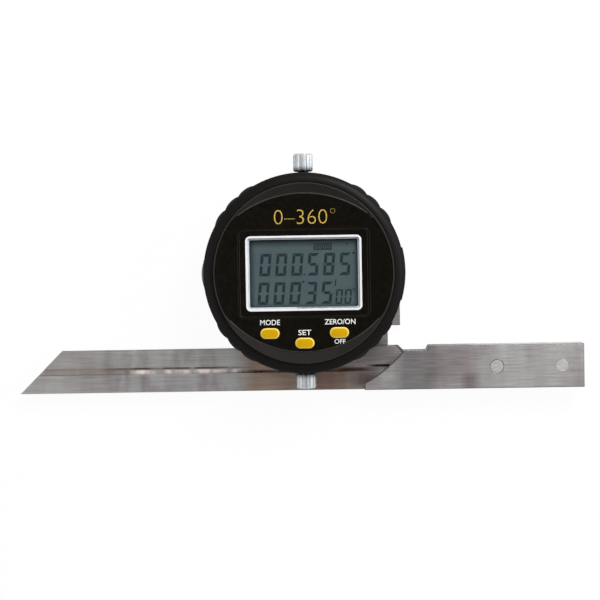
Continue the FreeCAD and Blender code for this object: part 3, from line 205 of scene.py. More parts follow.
def reach_from(finish, x, y):
    """How far each point lies from a place in the plane, given in mm."""
    flat = add_node(finish["tree"], "ShaderNodeVectorMath", {"operation": "MULTIPLY"},
                    {0: finish["place"], 1: (1.0, 1.0, 0.0)}).outputs[0]
    return add_node(finish["tree"], "ShaderNodeVectorMath", {"operation": "DISTANCE"},
                    {0: flat, 1: (x * MM, y * MM, 0.0)}).outputs["Value"]


def upward_part(finish):
    """How far each face looks up: 1 on a level top, 0 on an upright side."""
    turned = add_node(finish["tree"], "ShaderNodeTexCoord").outputs["Normal"]
    return add_node(finish["tree"], "ShaderNodeSeparateXYZ", None, {0: turned}).outputs["Z"]


# The bands that the wheel's passes leave: how large and how stretched they are, their share and
# their tint.
PASSES = [
    (10.0, (1.0, 0.2, 1.0), (0.44, 0.68), "#e6e1e2"),
    (38.0, (1.0, 0.7, 1.0), (0.46, 0.66), "#e6e1e1"),
]
# The hand-ground chamfers: how far they look up, give or take, and their least roughness.
CHAMFER_UPWARD = 0.7
CHAMFER_RANGE = 0.2
CHAMFER_ROUGHNESS = 0.85
ACROSS_BAR = (0.0, 1.0, 0.0)


def ground_steel(name):
    """Stainless tool steel, ground flat on a surface grinder. The wheel leaves long fine lines,
    its passes lie side by side as bands of slightly other tints, and the hand-ground chamfers are
    duller and painted darker, a painted shade that holds down their highlight."""
    finish = make_finish(name, ("#9c9c9b", "#b4b4b3"), (0.3, 0.4), 0.5, 0.25, 0.001,
                         (0.03, 1.0, 1.0), "#a3a1a0", 0.16, Metallic=1.0)
    tree = finish["tree"]
    for size, stretch, (low, high), code in PASSES:
        lay_tint(finish, cloud_mask(finish, size, stretch, low, high), code)
    tilted = calculate(tree, "COMPARE", upward_part(finish), CHAMFER_UPWARD, CHAMFER_RANGE)
    # The chamfers are painted darker, a painted shade that holds down their highlight.
    lay_tint(finish, tilted, "#dcdad9")
    dull = calculate(tree, "MULTIPLY", tilted, CHAMFER_ROUGHNESS)
    tree.links.new(calculate(tree, "MAXIMUM", finish["rough"], dull),
                   finish["shader"].inputs["Roughness"])
    lay_grain_along(finish, ACROSS_BAR, 0.5)
    return finish


# The stock's pins: where they stand, where the line round one begins and how softly, and where
# its joint with the stock ends, in mm.
NEAR_PIN = (67.8, -34.45)
FAR_PIN = (91.0, -34.45)
PIN_LINE = 2.3
PIN_LINE_SOFT = 0.1
PIN_JOINT = 2.8
# Where the painted shadow round the near pin opens, and how far from there it begins and is full.
RIM_SHADOW_OPENING = (NEAR_PIN[0] + 0.35, NEAR_PIN[1] - 1.0)
RIM_SHADOW_START = 1.7
RIM_SHADOW_FULL = 2.7

# Tints along the steel. Each row has its middle and width across the bar, its middle, length and
# fading along the bar, and its grain, all in mm, then its share, its tint and how it is laid.
PAINTED_HEAD_SHADE = (-34.0, 34.0, -3.0, 38.0, 7.0, 30.0, (0.0, 0.2), "#ecd2c0", "MULTIPLY")
GROOVE_MARKS = [
    # A painted brown shade under the head: its shadow and dark reflection on the steel.
    PAINTED_HEAD_SHADE,
    # Bands of other tints where the wheel's passes meet.
    (-34.5, 20.0, -47.0, 46.0, 10.0, 9.0, (0.46, 0.62), "#e0d7da", "MULTIPLY"),
    # Painted shade along the upper wall, darker where the groove ends by the stock.
    (-33.8, 0.9, -46.0, 44.0, 16.0, 6.0, (0.26, 0.48), "#ac968c", "MULTIPLY"),
    (-33.8, 0.9, 27.5, 9.0, 4.0, 10.0, (0.0, 0.2), "#5a4a41", "MULTIPLY"),
    # Darker brown along the lower wall on both sides of the clamp.
    (-35.3, 0.9, -15.0, 20.0, 8.0, 8.0, (0.3, 0.5), "#7a675c", "MULTIPLY"),
    (-35.0, 1.2, 17.0, 14.0, 8.0, 8.0, (0.2, 0.4), "#93827a", "MULTIPLY"),
    # The lower wall, a thin grey line.
    (-35.72, 0.22, -82.0, 40.0, 6.0, 30.0, (0.1, 0.3), "#837d7b", "MIX"),
    # A dull brown floor towards the tip.
    (-34.4, 2.1, -80.0, 34.0, 12.0, 20.0, (0.1, 0.4), "#f3ebe6", "MULTIPLY"),
    # Painted shade at the foot of the stock's arc, and a slightly darker place above the groove's
    # end.
    (-38.6, 6.0, 20.5, 7.0, 5.0, 4.0, (0.1, 0.4), "#b5a7a0", "MULTIPLY"),
    (-29.8, 6.5, 24.5, 12.0, 5.0, 9.0, (0.0, 0.3), "#e3dfdd", "MULTIPLY"),
    # Painted bright highlights along the groove's floor, left of the clamp.
    (-34.95, 1.4, -43.0, 40.0, 5.0, 6.0, (0.36, 0.56), "#efe5e1", "MIX"),
]
STOCK_MARKS = [
    # The painted shade under the head.
    PAINTED_HEAD_SHADE,
    # A darker band beside the arc.
    (-34.5, 20.0, 39.0, 13.0, 5.0, 25.0, (0.1, 0.4), "#d3d1d3", "MULTIPLY"),
    # A violet band, and a darker place at its end.
    (-33.0, 12.0, 51.5, 15.5, 4.0, 30.0, (0.15, 0.4), "#ebe3e5", "MULTIPLY"),
    (-40.4, 7.0, 58.4, 5.0, 3.0, 12.0, (0.2, 0.4), "#cfc8c9", "MULTIPLY"),
]


def stock_steel():
    """The stock's steel: its grinding passes and tints, the painted shade under the head, and the
    far pin's joint laid in one even tone with an unrounded normal.
    """
    finish = ground_steel("ground_stainless_steel")
    tree = finish["tree"]
    lay_marks(finish, STOCK_MARKS)
    closed = calculate(tree, "LESS_THAN", reach_from(finish, *FAR_PIN), PIN_JOINT * MM)
    lay_tint(finish, closed, "#a3a0a1", "MIX")
    level = add_node(tree, "ShaderNodeNewGeometry").outputs["Normal"]
    chosen = add_node(tree, "ShaderNodeMix", {"data_type": "VECTOR"},
                      {0: closed, 4: finish["rounded"], 5: level}).outputs[1]
    tree.links.new(chosen, finish["bump"].node.inputs["Normal"])
    return finish["material"]


def grooved_steel():
    """The same steel on the blade, with tints along its groove, painted shade under the head and in
    the groove, and painted highlights on the groove's floor.
    """
    finish = ground_steel("ground_stainless_steel_painted_shade")
    lay_marks(finish, GROOVE_MARKS)
    return finish["material"]


def pin_rim(finish, pin):
    """1 on the bevelled rim of a pin, 0 elsewhere."""
    tree = finish["tree"]
    reach = reach_from(finish, *pin)
    rim = spread(tree, reach, PIN_LINE * MM, (PIN_LINE + PIN_LINE_SOFT) * MM)
    near = calculate(tree, "LESS_THAN", reach, 2 * PIN_LINE * MM)
    return calculate(tree, "MULTIPLY", rim, near)


def flush_pins():
    """Bearing steel pins, pressed in and ground flush with the stock: a shade paler. A painted
    shadow line runs round the near one, open below; the rim of the far one is painted pale over the
    shade at its edge."""
    finish = make_finish("flush_ground_bearing_steel", ("#a09f9f", "#b6b5b5"), (0.32, 0.44), 0.7,
                         0.25, 0.001, (0.3, 1.0, 1.0), edge_width=0.02, Metallic=1.0)
    tree = finish["tree"]
    rim_shadowed = spread(tree, reach_from(finish, *RIM_SHADOW_OPENING), RIM_SHADOW_START * MM, RIM_SHADOW_FULL * MM)
    # A painted shadow line round the near pin, open below, and a painted pale rim on the far one.
    lay_tint(finish, calculate(tree, "MULTIPLY", pin_rim(finish, NEAR_PIN), rim_shadowed), "#3f3a38")
    lay_tint(finish, pin_rim(finish, FAR_PIN), "#d2d0d0", "MIX")
    lay_grain_along(finish, ACROSS_BAR, 0.4)
    return finish["material"]


# The shade that the frame throws on the display: along which axis it grows, the edge that it comes
# from, how far it reaches from there in mm, and how dark it is.
DISPLAY_SHADES = [
    ("Y", 11.75, 3.4, "#70787c"),
    ("Y", -11.75, -1.6, "#b9bfc0"),
    ("X", -18.85, -2.4, "#8f979a"),
    ("X", 18.85, 2.0, "#9aa2a4"),
]


def display_field():
    """The face of a reflective liquid crystal display: grey-green behind glass, with a painted
    shade of the frame along its edges."""
    finish = make_finish("liquid_crystal_display", ("#566067", "#5e676e"), (0.42, 0.5), 9.0, 0.3,
                         0.0008, Specular_IOR_Level=0.2)
    tree = finish["tree"]
    low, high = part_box("display_module")
    middle = (low + high) / 2
    off = add_node(tree, "ShaderNodeVectorMath", {"operation": "SUBTRACT"},
                   {0: finish["place"], 1: tuple(middle)}).outputs[0]
    parts = add_node(tree, "ShaderNodeSeparateXYZ", None, {0: off}).outputs
    for axis, edge, fade, code in DISPLAY_SHADES:
        shade = spread(tree, parts[axis], (edge - fade) * MM, edge * MM, soft=True)
        lay_tint(finish, shade, code)
    return finish["material"]


# The faint haze on the window: the size of its spots in mm, its detail, and how rough it makes
# the window.
HAZE_SIZE = 6.0
HAZE_DETAIL = 3.0
HAZE_ROUGHNESS = (0.02, 0.07)


def clear_window():
    """Cast acrylic with polished faces: it lets the display through and keeps a thin reflection."""
    material = bpy.data.materials.new("polished_acrylic_window")
    material.use_nodes = True
    tree = material.node_tree
    tree.nodes.clear()
    place = add_node(tree, "ShaderNodeTexCoord").outputs["Object"]
    rough = spread(tree, noise(tree, place, HAZE_SIZE, HAZE_DETAIL), 0.0, 1.0, *HAZE_ROUGHNESS)
    through = add_node(tree, "ShaderNodeBsdfTransparent", None,
                       {"Color": tone("#f2f6f4")}).outputs[0]
    shine = add_node(tree, "ShaderNodeBsdfGlossy", None,
                     {"Color": tone("#ffffff"), "Roughness": rough}).outputs[0]
    fresnel = add_node(tree, "ShaderNodeFresnel", None, {"IOR": 1.49}).outputs[0]
    inside = add_node(tree, "ShaderNodeNewGeometry").outputs["Backfacing"]
    outside = calculate(tree, "SUBTRACT", 1.0, inside)
    share = calculate(tree, "MULTIPLY", fresnel, outside)
    both = add_node(tree, "ShaderNodeMixShader", None,
                    {0: share, 1: through, 2: shine}).outputs[0]
    add_node(tree, "ShaderNodeOutputMaterial", None, {"Surface": both})
    return material


# The threads of the board, in mm. They are drawn further apart than real ones, so that they show.
THREAD_PITCH = 0.987
THREAD_HEIGHT = 0.01
# How long one wave of a wave texture is at scale 1.
WAVE_LENGTH = math.tau / 20


def fibreglass_board():
    """Fibreglass and epoxy laminate, pressed and coated: green with the weave just showing."""
    finish = make_finish("pressed_fibreglass_board", ("#14532f", "#1c6b3c"), (0.3, 0.42), 5.0, 0.5,
                         0.004, IOR=1.55)
    tree = finish["tree"]
    weave = []
    for turn in (0.0, math.pi / 2):
        along = add_node(tree, "ShaderNodeMapping", None,
                         {"Vector": finish["place"], "Rotation": (0.0, 0.0, turn)}).outputs[0]
        weave.append(add_node(tree, "ShaderNodeTexWave", None,
                              {"Vector": along, "Scale": WAVE_LENGTH / (THREAD_PITCH * MM),
                               "Distortion": 0.6}).outputs["Fac"])
    raised = add_node(tree, "ShaderNodeBump", None,
                      {"Height": calculate(tree, "MAXIMUM", *weave),
                       "Distance": THREAD_HEIGHT * MM, "Normal": finish["bump"]}).outputs[0]
    tree.links.new(raised, finish["shader"].inputs["Normal"])
    return finish["material"]


# The panel's flanks and its face: how far they look up at most and at least, and how glossy the
# flanks are.
FLANK_UPWARD = 0.9
FACE_UPWARD = 0.99
FLANK_GLOSS = 0.02


def dull_flanks(finish):
    """A printed panel is glossy on its face alone: its cut flanks are dull."""
    gloss = finish["shader"].inputs["Specular IOR Level"]
    drawn = spread(finish["tree"], upward_part(finish), FLANK_UPWARD, FACE_UPWARD, FLANK_GLOSS,
                   gloss.default_value)
    finish["tree"].links.new(drawn, gloss)


# How far from the head's axis the shade on the knobs begins and is full, in mm.
SHADE_START = 38.2
SHADE_FULL = 35.8


def shade_near_case(finish):
    """Chrome mirrors the black case in the end that stands next to it."""
    tree = finish["tree"]
    along = add_node(tree, "ShaderNodeSeparateXYZ", None, {0: finish["place"]}).outputs["Y"]
    near = spread(tree, calculate(tree, "ABSOLUTE", along), SHADE_START * MM, SHADE_FULL * MM,
                  soft=True)
    lay_tint(finish, near, "#47474a")


# How far the rim of a key looks up where its painted highlight begins and where it is full.
RIM_START = 0.99
RIM_FULL = 0.93


def paint_key_rim_highlight(finish):
    """A painted pale highlight on the rounded rim of a key."""
    rim = spread(finish["tree"], upward_part(finish), RIM_START, RIM_FULL)
    lay_tint(finish, rim, "#f2d36a", "MIX")


# What each material slot of the record is made of, by slot name.
finishes = {
    "ground_steel": stock_steel(),
    "display_glass": display_field(),
    "clear_lens": clear_window(),
    "board_laminate": fibreglass_board(),
}

# The rest, each with the real material and how its surface was made, and what that gives the eye.
# Each row has its name, its two tones, its roughness, the sizes of its patches and its grain and
# its relief in mm, and what else make_finish takes.
plain_finishes = {
    # Bearing steel, turned and ground flush: fine tool marks, brighter than the plate.
    "pin_steel": ("turned_bearing_steel", ("#aeabaa", "#cbc9c8"), (0.24, 0.36), 3.0, 0.2, 0.004, {
        "edge": "#e2e0de", "Metallic": 1.0}),
    # Steel screws, zinc plated: pale blue-grey with a soft cloudy shine.
    "screw_steel": ("zinc_plated_steel", ("#a9adb2", "#c9ccd0"), (0.28, 0.4), 1.5, 0.15, 0.004, {
        "edge": "#e4e6e8", "Metallic": 1.0}),
    # Carbon steel, blackened in hot salts: a thin black skin with a brown bloom, bright on edges.
    "blackened_steel": ("hot_blackened_steel", ("#1c1a1a", "#2f2b29"), (0.34, 0.5), 6.0, 0.3,
                        0.005, {"edge": "#6b6664", "Metallic": 1.0}),
    # Tin bronze, machined dry: warm yellow-brown with short tool marks.
    "bronze": ("machined_tin_bronze", ("#9a6b38", "#b98a4c"), (0.28, 0.42), 2.5, 0.2, 0.005, {
        "edge": "#d8b272", "Metallic": 1.0}),
    # Aluminium, blasted and black anodised: an even satin black that sparkles a little.
    "black_anodised": ("blasted_black_anodised_aluminium", ("#191717", "#242121"), (0.4, 0.52), 5.0,
                       0.12, 0.006, {"edge": "#4a4645", "Specular_IOR_Level": 0.6}),
    # ABS, moulded in a spark-eroded tool: a fine even grain that dulls the shine.
    "black_case": ("spark_textured_abs", ("#080605", "#0c0908"), (0.4, 0.52), 9.0, 0.22, 0.012, {
        "edge": "#2c2725", "edge_width": 0.35, "IOR": 1.54, "Specular_IOR_Level": 0.08}),
    # ABS, moulded in a finer blasted tool: matt and a shade greyer than the case.
    "grey_bezel": ("fine_blasted_abs", ("#171414", "#1f1b1b"), (0.46, 0.58), 8.0, 0.16, 0.006, {
        "edge": "#5a534e", "edge_width": 0.3, "IOR": 1.54, "Specular_IOR_Level": 0.09}),
    # Polycarbonate film, printed black behind and hard coated: a deep black with a clean gloss.
    "black_panel": ("hard_coated_polycarbonate", ("#0a0804", "#0e0b06"), (0.14, 0.2), 14.0, 1.2,
                    0.001, {"edge": "#1e1a18", "edge_width": 0.12, "IOR": 1.5,
                            "Specular_IOR_Level": 0.35}),
    # ABS, moulded white in a polished tool: clean and faintly cold, soft at the corners.
    "white_frame": ("polished_white_abs", ("#dddbe2", "#e8e6ec"), (0.26, 0.34), 7.0, 0.5, 0.002, {
        "edge": "#f2f1f5", "edge_width": 0.2, "IOR": 1.54}),
    # Silicone rubber, pressed: a dry dull black that gathers fine dust.
    "black_rubber": ("pressed_silicone_rubber", ("#141313", "#1f1e1d"), (0.7, 0.85), 3.0, 0.15,
                     0.008, {"IOR": 1.41}),
    # Silicone rubber, pressed and dyed yellow, with a painted pale highlight on its rounded rim.
    "yellow_key": ("pressed_yellow_silicone", ("#bd9200", "#c69c00"), (0.4, 0.5), 3.0, 0.3, 0.004, {
        "IOR": 1.41, "Specular_IOR_Level": 0.15}),
    # Steel, turned, blasted and chromed: soft bands of the room, cold in tone.
    "chrome": ("satin_chromed_steel", ("#a2a5a8", "#b6babd"), (0.44, 0.54), 3.0, 0.25, 0.001, {
        "edge": "#fafafa", "edge_width": 0.12, "Metallic": 1.0}),
    # Nickel plated steel, deep drawn: a soft bright skin with faint rings of the press.
    "cell_steel": ("drawn_nickel_plated_steel", ("#b9b6ae", "#d0cdc6"), (0.2, 0.32), 4.0, 0.25,
                   0.003, {"edge": "#e6e4de", "Metallic": 1.0}),
    # Soft PVC, moulded grey: dull and slightly waxy, rubbed paler on its dome.
    "grey_cover": ("moulded_soft_pvc", ("#4d4a4b", "#5c595a"), (0.5, 0.64), 3.0, 0.2, 0.006, {
        "edge": "#7b7778", "edge_width": 0.3, "IOR": 1.53}),
    # Glass-filled nylon, moulded: black and dull with short fibres at the skin.
    "black_insulator": ("glass_filled_nylon", ("#161515", "#232120"), (0.5, 0.65), 1.2, 0.1,
                        0.006, {"IOR": 1.53}),
}
# What some of them have besides.
extras = {
    "yellow_key": paint_key_rim_highlight,
    "chrome": shade_near_case,
    "black_panel": dull_flanks,
}
for slot_name, (name, tones, roughness, patch, grain, relief, more) in plain_finishes.items():
    finish = make_finish(name, tones, roughness, patch, grain, relief, **more)
    if slot_name in extras:
        extras[slot_name](finish)
    finishes[slot_name] = finish["material"]

# Epoxy ink, screen printed in white: opaque, flat, its edge a little ragged.
white_ink = make_finish("screen_printed_white_ink", ("#dedede", "#f0f0f0"), (0.5, 0.6), 0.8, 0.1,
                        0.002)["material"]
# Bronze-pigment ink, screen printed: a dull gold that catches light in specks.
gold_ink = make_finish("screen_printed_gold_ink", ("#b08b2e", "#d8b65a"), (0.4, 0.55), 0.6, 0.1,
                       0.002, Metallic=0.3)["material"]
# Liquid crystal segments that are switched on: a cold blue-black under the glass.
dark_segment = make_finish("switched_liquid_crystal", ("#05131d", "#08192a"), (0.4, 0.5), 1.5, 0.2,
                           0.0005)["material"]

for node in nodes.values():
    slot_name = node.data.materials[0].name
    node.data.materials[0] = finishes[slot_name]
nodes["blade"].data.materials[0] = grooved_steel()
nodes["stock_pins"].data.materials[0] = flush_pins()


def finish_piece(piece, material, body, replaced=()):
    """Dresses a new piece and seats it on its body."""
    piece.data.materials.clear()
    piece.data.materials.append(material)
    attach(piece, body)
    if replaced:
        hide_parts(*replaced)


def piece_from_mesh(name, form):
    """Turns a bmesh into a piece, with its faces looking outward."""
    bmesh.ops.recalc_face_normals(form, faces=form.faces)
    mesh = bpy.data.meshes.new(name)
    form.to_mesh(mesh)
    form.free()
    piece = bpy.data.objects.new(name, mesh)
    bpy.context.scene.collection.objects.link(piece)
    return piece


def rounded_outline(width, height, corner, steps=8):
    """The points of a rounded rectangle about the origin, anticlockwise."""
    points = []
    for quarter, (x, y) in enumerate(((1, 1), (-1, 1), (-1, -1), (1, -1))):
        middle = Vector((x * (width / 2 - corner), y * (height / 2 - corner)))
        for step in range(steps + 1):
            angle = (quarter + step / steps) * math.pi / 2
            points.append(middle + corner * Vector((math.cos(angle), math.sin(angle))))
    return points


def add_levels(form, centre, levels):
    """Stacks outlines, each a (width, height, corner, z), into one closed body."""
    rings = []
    for width, height, corner, z in levels:
        rings.append([form.verts.new((centre.x + p.x, centre.y + p.y, z))
                      for p in rounded_outline(width, height, corner)])
    for low, high in zip(rings, rings[1:]):
        for at in range(len(low)):
            after = (at + 1) % len(low)
            form.faces.new((low[at], low[after], high[after], high[at]))
    form.faces.new(reversed(rings[0]))
    form.faces.new(rings[-1])


# The key caps: a pressed rubber pad each, with a flange under the panel and a crowned top. An edge
# that bends by more than the crease stays sharp.
KEY_WIDTH = 6.65 * MM
KEY_HEIGHT = 3.75 * MM
KEY_CORNER = 1.85 * MM
KEY_LEAST_CORNER = 0.3 * MM
KEY_CREASE = math.radians(40)
FLANGE_GAP = 0.05 * MM
FLANGE_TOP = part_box("front_panel")[0].z - FLANGE_GAP
# How far in from the cap's side, and down from its top, the crown is, step by step, in mm.
CROWN = [(0.0, 0.62), (0.02, 0.4), (0.09, 0.24), (0.22, 0.13), (0.42, 0.07), (0.75, 0.03),
         (1.2, 0.0)]


def make_key(label):
    """The cap of one key, in place of the plain one."""
    low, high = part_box(label + "_button")
    centre = (low + high) / 2
    flange_width = high.x - low.x
    flange_height = high.y - low.y
    levels = [(flange_width, flange_height, KEY_CORNER, low.z),
              (flange_width, flange_height, KEY_CORNER, FLANGE_TOP),
              (KEY_WIDTH, KEY_HEIGHT, KEY_CORNER, FLANGE_TOP)]
    for inset, drop in CROWN:
        inset *= MM
        levels.append((KEY_WIDTH - 2 * inset, KEY_HEIGHT - 2 * inset,
                       max(KEY_CORNER - inset, KEY_LEAST_CORNER), high.z - drop * MM))
    form = bmesh.new()
    add_levels(form, centre, levels)
    cap = piece_from_mesh(label + "_key_cap", form)
    for face in cap.data.polygons:
        face.use_smooth = True
    cap.data.set_sharp_from_angle(angle=KEY_CREASE)
    finish_piece(cap, finishes["yellow_key"], label + "_key", [label + "_button"])


for label in ("mode", "set", "zero"):
    make_key(label)


# The printed legends: what each says, where its middle is, its width and height in mm, and its ink.
LEGENDS = [
    ("mode_legend", "MODE", (-11.95, -16.95), (6.9, 1.85), "white"),
    ("set_legend", "SET", (0.05, -20.6), (4.5, 1.85), "white"),
    ("zero_on_legend", "ZERO/ON", (12.35, -17.0), (10.7, 1.85), "white"),
    ("off_legend", "OFF", (12.25, -23.85), (3.85, 1.65), "white"),
    ("range_legend", "0–360°", (0.6, 19.7), (21.3, 5.3), "gold"),
]
# The inks, each with how much bolder than the plain typeface it is printed.
INKS = {
    "white": (white_ink, 0.010),
    "gold": (gold_ink, -0.020),
}
# How finely the curves of a letter are cut, and how thick the print is.
LETTER_STEPS = 3
PRINT_THICK = 0.01 * MM


def print_legend(name, words, middle, size, ink):
    """Lays words on the panel as a thin print of that middle, width and height."""
    material, boldness = INKS[ink]
    letters = bpy.data.curves.new(name, "FONT")
    letters.body = words
    letters.offset = boldness
    letters.resolution_u = LETTER_STEPS
    # Any thickness will do here: the print's own one is set below.
    letters.extrude = 0.001
    carrier = bpy.data.objects.new(name + "_letters", letters)
    bpy.context.scene.collection.objects.link(carrier)
    bpy.context.view_layer.update()
    view = bpy.context.evaluated_depsgraph_get()
    mesh = bpy.data.meshes.new_from_object(carrier.evaluated_get(view))
    bpy.data.objects.remove(carrier)
    low = Vector([min(v.co[axis] for v in mesh.vertices) for axis in range(3)])
    high = Vector([max(v.co[axis] for v in mesh.vertices) for axis in range(3)])
    for corner in mesh.vertices:
        share = [(corner.co[axis] - low[axis]) / (high[axis] - low[axis]) for axis in range(3)]
        corner.co = ((middle[0] + (share[0] - 0.5) * size[0]) * MM,
                     (middle[1] + (share[1] - 0.5) * size[1]) * MM,
                     PANEL_FACE + INK_LIFT + share[2] * PRINT_THICK)
    piece = bpy.data.objects.new(name, mesh)
    bpy.context.scene.collection.objects.link(piece)
    finish_piece(piece, material, "head")


for legend in LEGENDS:
    print_legend(*legend)


# The line round the display's frame, a low ridge in the panel: its middle, size and corner, how
# wide, high and deep it is, all in mm, and the share of its width that a slope takes.
RIDGE_MIDDLE = (0.1, -0.1)
RIDGE_SIZE = (46.2, 31.2)
RIDGE_CORNER = 2.2
RIDGE_WIDTH = 0.3
RIDGE_HEIGHT = 0.04
RIDGE_DEPTH = 0.02
RIDGE_SLOPE = 0.3


def frame_ring(name, middle, size, corner, width, low, high):
    """A closed rounded rectangular ring of that width, between two heights in metres."""
    form = bmesh.new()
    rings = []
    for inset, z in ((0, low), (width * RIDGE_SLOPE, high), (width * (1 - RIDGE_SLOPE), high),
                     (width, low)):
        outline = rounded_outline((size[0] - 2 * inset) * MM, (size[1] - 2 * inset) * MM,
                                  (corner - inset) * MM)
        rings.append([form.verts.new((middle[0] * MM + p.x, middle[1] * MM + p.y, z))
                      for p in outline])
    for outer, inner in zip(rings, rings[1:] + rings[:1]):
        for at in range(len(outer)):
            after = (at + 1) % len(outer)
            form.faces.new((outer[at], outer[after], inner[after], inner[at]))
    return piece_from_mesh(name, form)


ridge = frame_ring("panel_ridge", RIDGE_MIDDLE, RIDGE_SIZE, RIDGE_CORNER, RIDGE_WIDTH,
                   PANEL_FACE - RIDGE_DEPTH * MM, PANEL_FACE + RIDGE_HEIGHT * MM)
finish_piece(ridge, finishes["black_panel"], "head")


# The beads that close the joint between the panel's two arcs and the dished ring, in mm: how far
# down the panel's outline is looked for, the reach from the axis at which it belongs to an arc, how
# far a bead reaches over the panel and over the ring, how high it stands and how deep it goes.
FACE_DEPTH = 0.01
ARC_REACH = (27.0, 30.4)
BEAD_INSIDE = 0.04
BEAD_OUTSIDE = 0.38
BEAD_HEIGHT = 0.02
BEAD_DEPTH = 0.2


def add_bead(name, side):
    """A fine three-sided bead of the ring's own plastic, along the panel's upper (1) or lower (-1)
    arc."""
    points = {(round(v.co.x, 6), round(v.co.y, 6)) for v in nodes["front_panel"].data.vertices
              if v.co.z > PANEL_FACE - FACE_DEPTH * MM}
    arc = [Vector((x, y, 0)) for x, y in points
           if y * side > 0 and ARC_REACH[0] * MM < math.hypot(x, y) < ARC_REACH[1] * MM]
    ring = nodes["bezel"].data
    dish = BVHTree.FromPolygons([v.co for v in ring.vertices],
                                [list(p.vertices) for p in ring.polygons])
    form = bmesh.new()
    rows = []
    for place in sorted(arc, key=lambda p: p.x):
        out = place.normalized()
        edge = place + out * BEAD_OUTSIDE * MM
        seat = dish.ray_cast(edge + Vector((0, 0, 2 * PANEL_FACE)), Vector((0, 0, -1)))[0].z
        low = min(seat, PANEL_FACE) - BEAD_DEPTH * MM
        rows.append([
            form.verts.new((*(place - out * BEAD_INSIDE * MM).xy, PANEL_FACE + BEAD_HEIGHT * MM)),
            form.verts.new((*edge.xy, seat + BEAD_HEIGHT * MM)),
            form.verts.new((*(place + out * BEAD_INSIDE * MM).xy, low))])
    for near, far in zip(rows, rows[1:]):
        for at in range(3):
            after = (at + 1) % 3
            form.faces.new((near[at], near[after], far[after], far[at]))
    form.faces.new(rows[0])
    form.faces.new(rows[-1])
    finish_piece(piece_from_mesh(name, form), finishes["grey_bezel"], "head")


add_bead("upper_bead", 1)
add_bead("lower_bead", -1)


# The reading. Each digit is seven bars, named as on a data sheet, on a slant.
LIT = {"0": "abcdef", "3": "abcdg", "5": "acdfg", "8": "abcdefg"}
DIGIT_SLANT = math.tan(math.radians(5.5))
# How wide a bar of the large and of the small digits is, and the gap at its ends, in mm.
BAR = 1.02
SMALL_BAR = 0.62
BAR_GAP = 0.1
# Each row: its digits, the middle of the first one, the pitch, the height and width of a digit and
# the width of a bar, in mm.
ROWS = [
    ("000585", (-13.3, 3.0), 5.54, 7.8, 3.75, BAR),
    ("00035", (-14.1, -6.95), 5.52, 7.75, 3.7, BAR),
    ("00", (12.2, -8.35), 3.1, 5.1, 2.35, SMALL_BAR),
]
# How thick a switched-on mark is drawn.
DISPLAY_THICK = 0.01 * MM


def bar_shapes(width, height, bar):
    """The outlines of the seven bars of a digit about its middle."""
    w, h, g = width / 2, height / 2, BAR_GAP

    def across(y, up):
        return [(-w + g, y), (w - g, y), (w - g - bar, y - up * bar), (-w + g + bar, y - up * bar)]

    def upright(x, side, y0, y1):
        return [(x, y0), (x, y1),
                (x - side * bar, y1 - (bar if y1 == h - g else bar / 2)),
                (x - side * bar, y0 + (bar if y0 == -h + g else bar / 2))]

    return {
        "a": across(h, 1),
        "d": across(-h, -1),
        "g": [(-w + g + bar / 2, 0), (-w + g + bar, bar / 2), (w - g - bar, bar / 2),
              (w - g - bar / 2, 0), (w - g - bar, -bar / 2), (-w + g + bar, -bar / 2)],
        "b": upright(w, 1, g, h - g),
        "c": upright(w, 1, -h + g, -g),
        "f": upright(-w, -1, g, h - g),
        "e": upright(-w, -1, -h + g, -g),
    }


def add_mark(form, outline, middle):
    """One switched-on area of the display, a thin slab of that outline in mm."""
    layers = []
    for lift in (0, DISPLAY_THICK):
        layers.append([form.verts.new(((middle[0] + x + y * DIGIT_SLANT) * MM,
                                       (middle[1] + y) * MM, DISPLAY_FACE + INK_LIFT + lift))
                       for x, y in outline])
    form.faces.new(layers[0])
    form.faces.new(layers[1])
    for at in range(len(outline)):
        after = (at + 1) % len(outline)
        form.faces.new((layers[0][at], layers[0][after], layers[1][after], layers[1][at]))


def ring_of(radius, count=12):
    """The points of a circle about the origin."""
    return [(radius * math.cos(math.tau * at / count), radius * math.sin(math.tau * at / count))
            for at in range(count)]


def box_of(width, height):
    """The corners of a rectangle about the origin."""
    return [(-width / 2, -height / 2), (width / 2, -height / 2), (width / 2, height / 2),
            (-width / 2, height / 2)]


# The other marks, each with its outline and its middle in mm.
MARKS = [
    # The point.
    (box_of(0.6, 0.6), (0.2, -0.5)),
    # The degree marks.
    (ring_of(0.42), (17.4, 6.75)),
    (ring_of(0.42), (-0.2, -3.0)),
    # The minute stroke and the two second strokes.
    (box_of(0.42, 2.3), (11.0, -3.55)),
    (box_of(0.3, 1.0), (17.1, -5.9)),
    (box_of(0.3, 1.0), (17.7, -5.9)),
    # The battery sign's dot.
    (ring_of(0.4), (15.1, 10.1)),
]

reading = bmesh.new()
for digits, first, pitch, height, width, bar in ROWS:
    for at, digit in enumerate(digits):
        shapes = bar_shapes(width, height, bar)
        for bar_name in LIT[digit]:
            add_mark(reading, shapes[bar_name], (first[0] + at * pitch, first[1]))
for outline, middle in MARKS:
    add_mark(reading, outline, middle)
finish_piece(piece_from_mesh("reading", reading), dark_segment, "head")

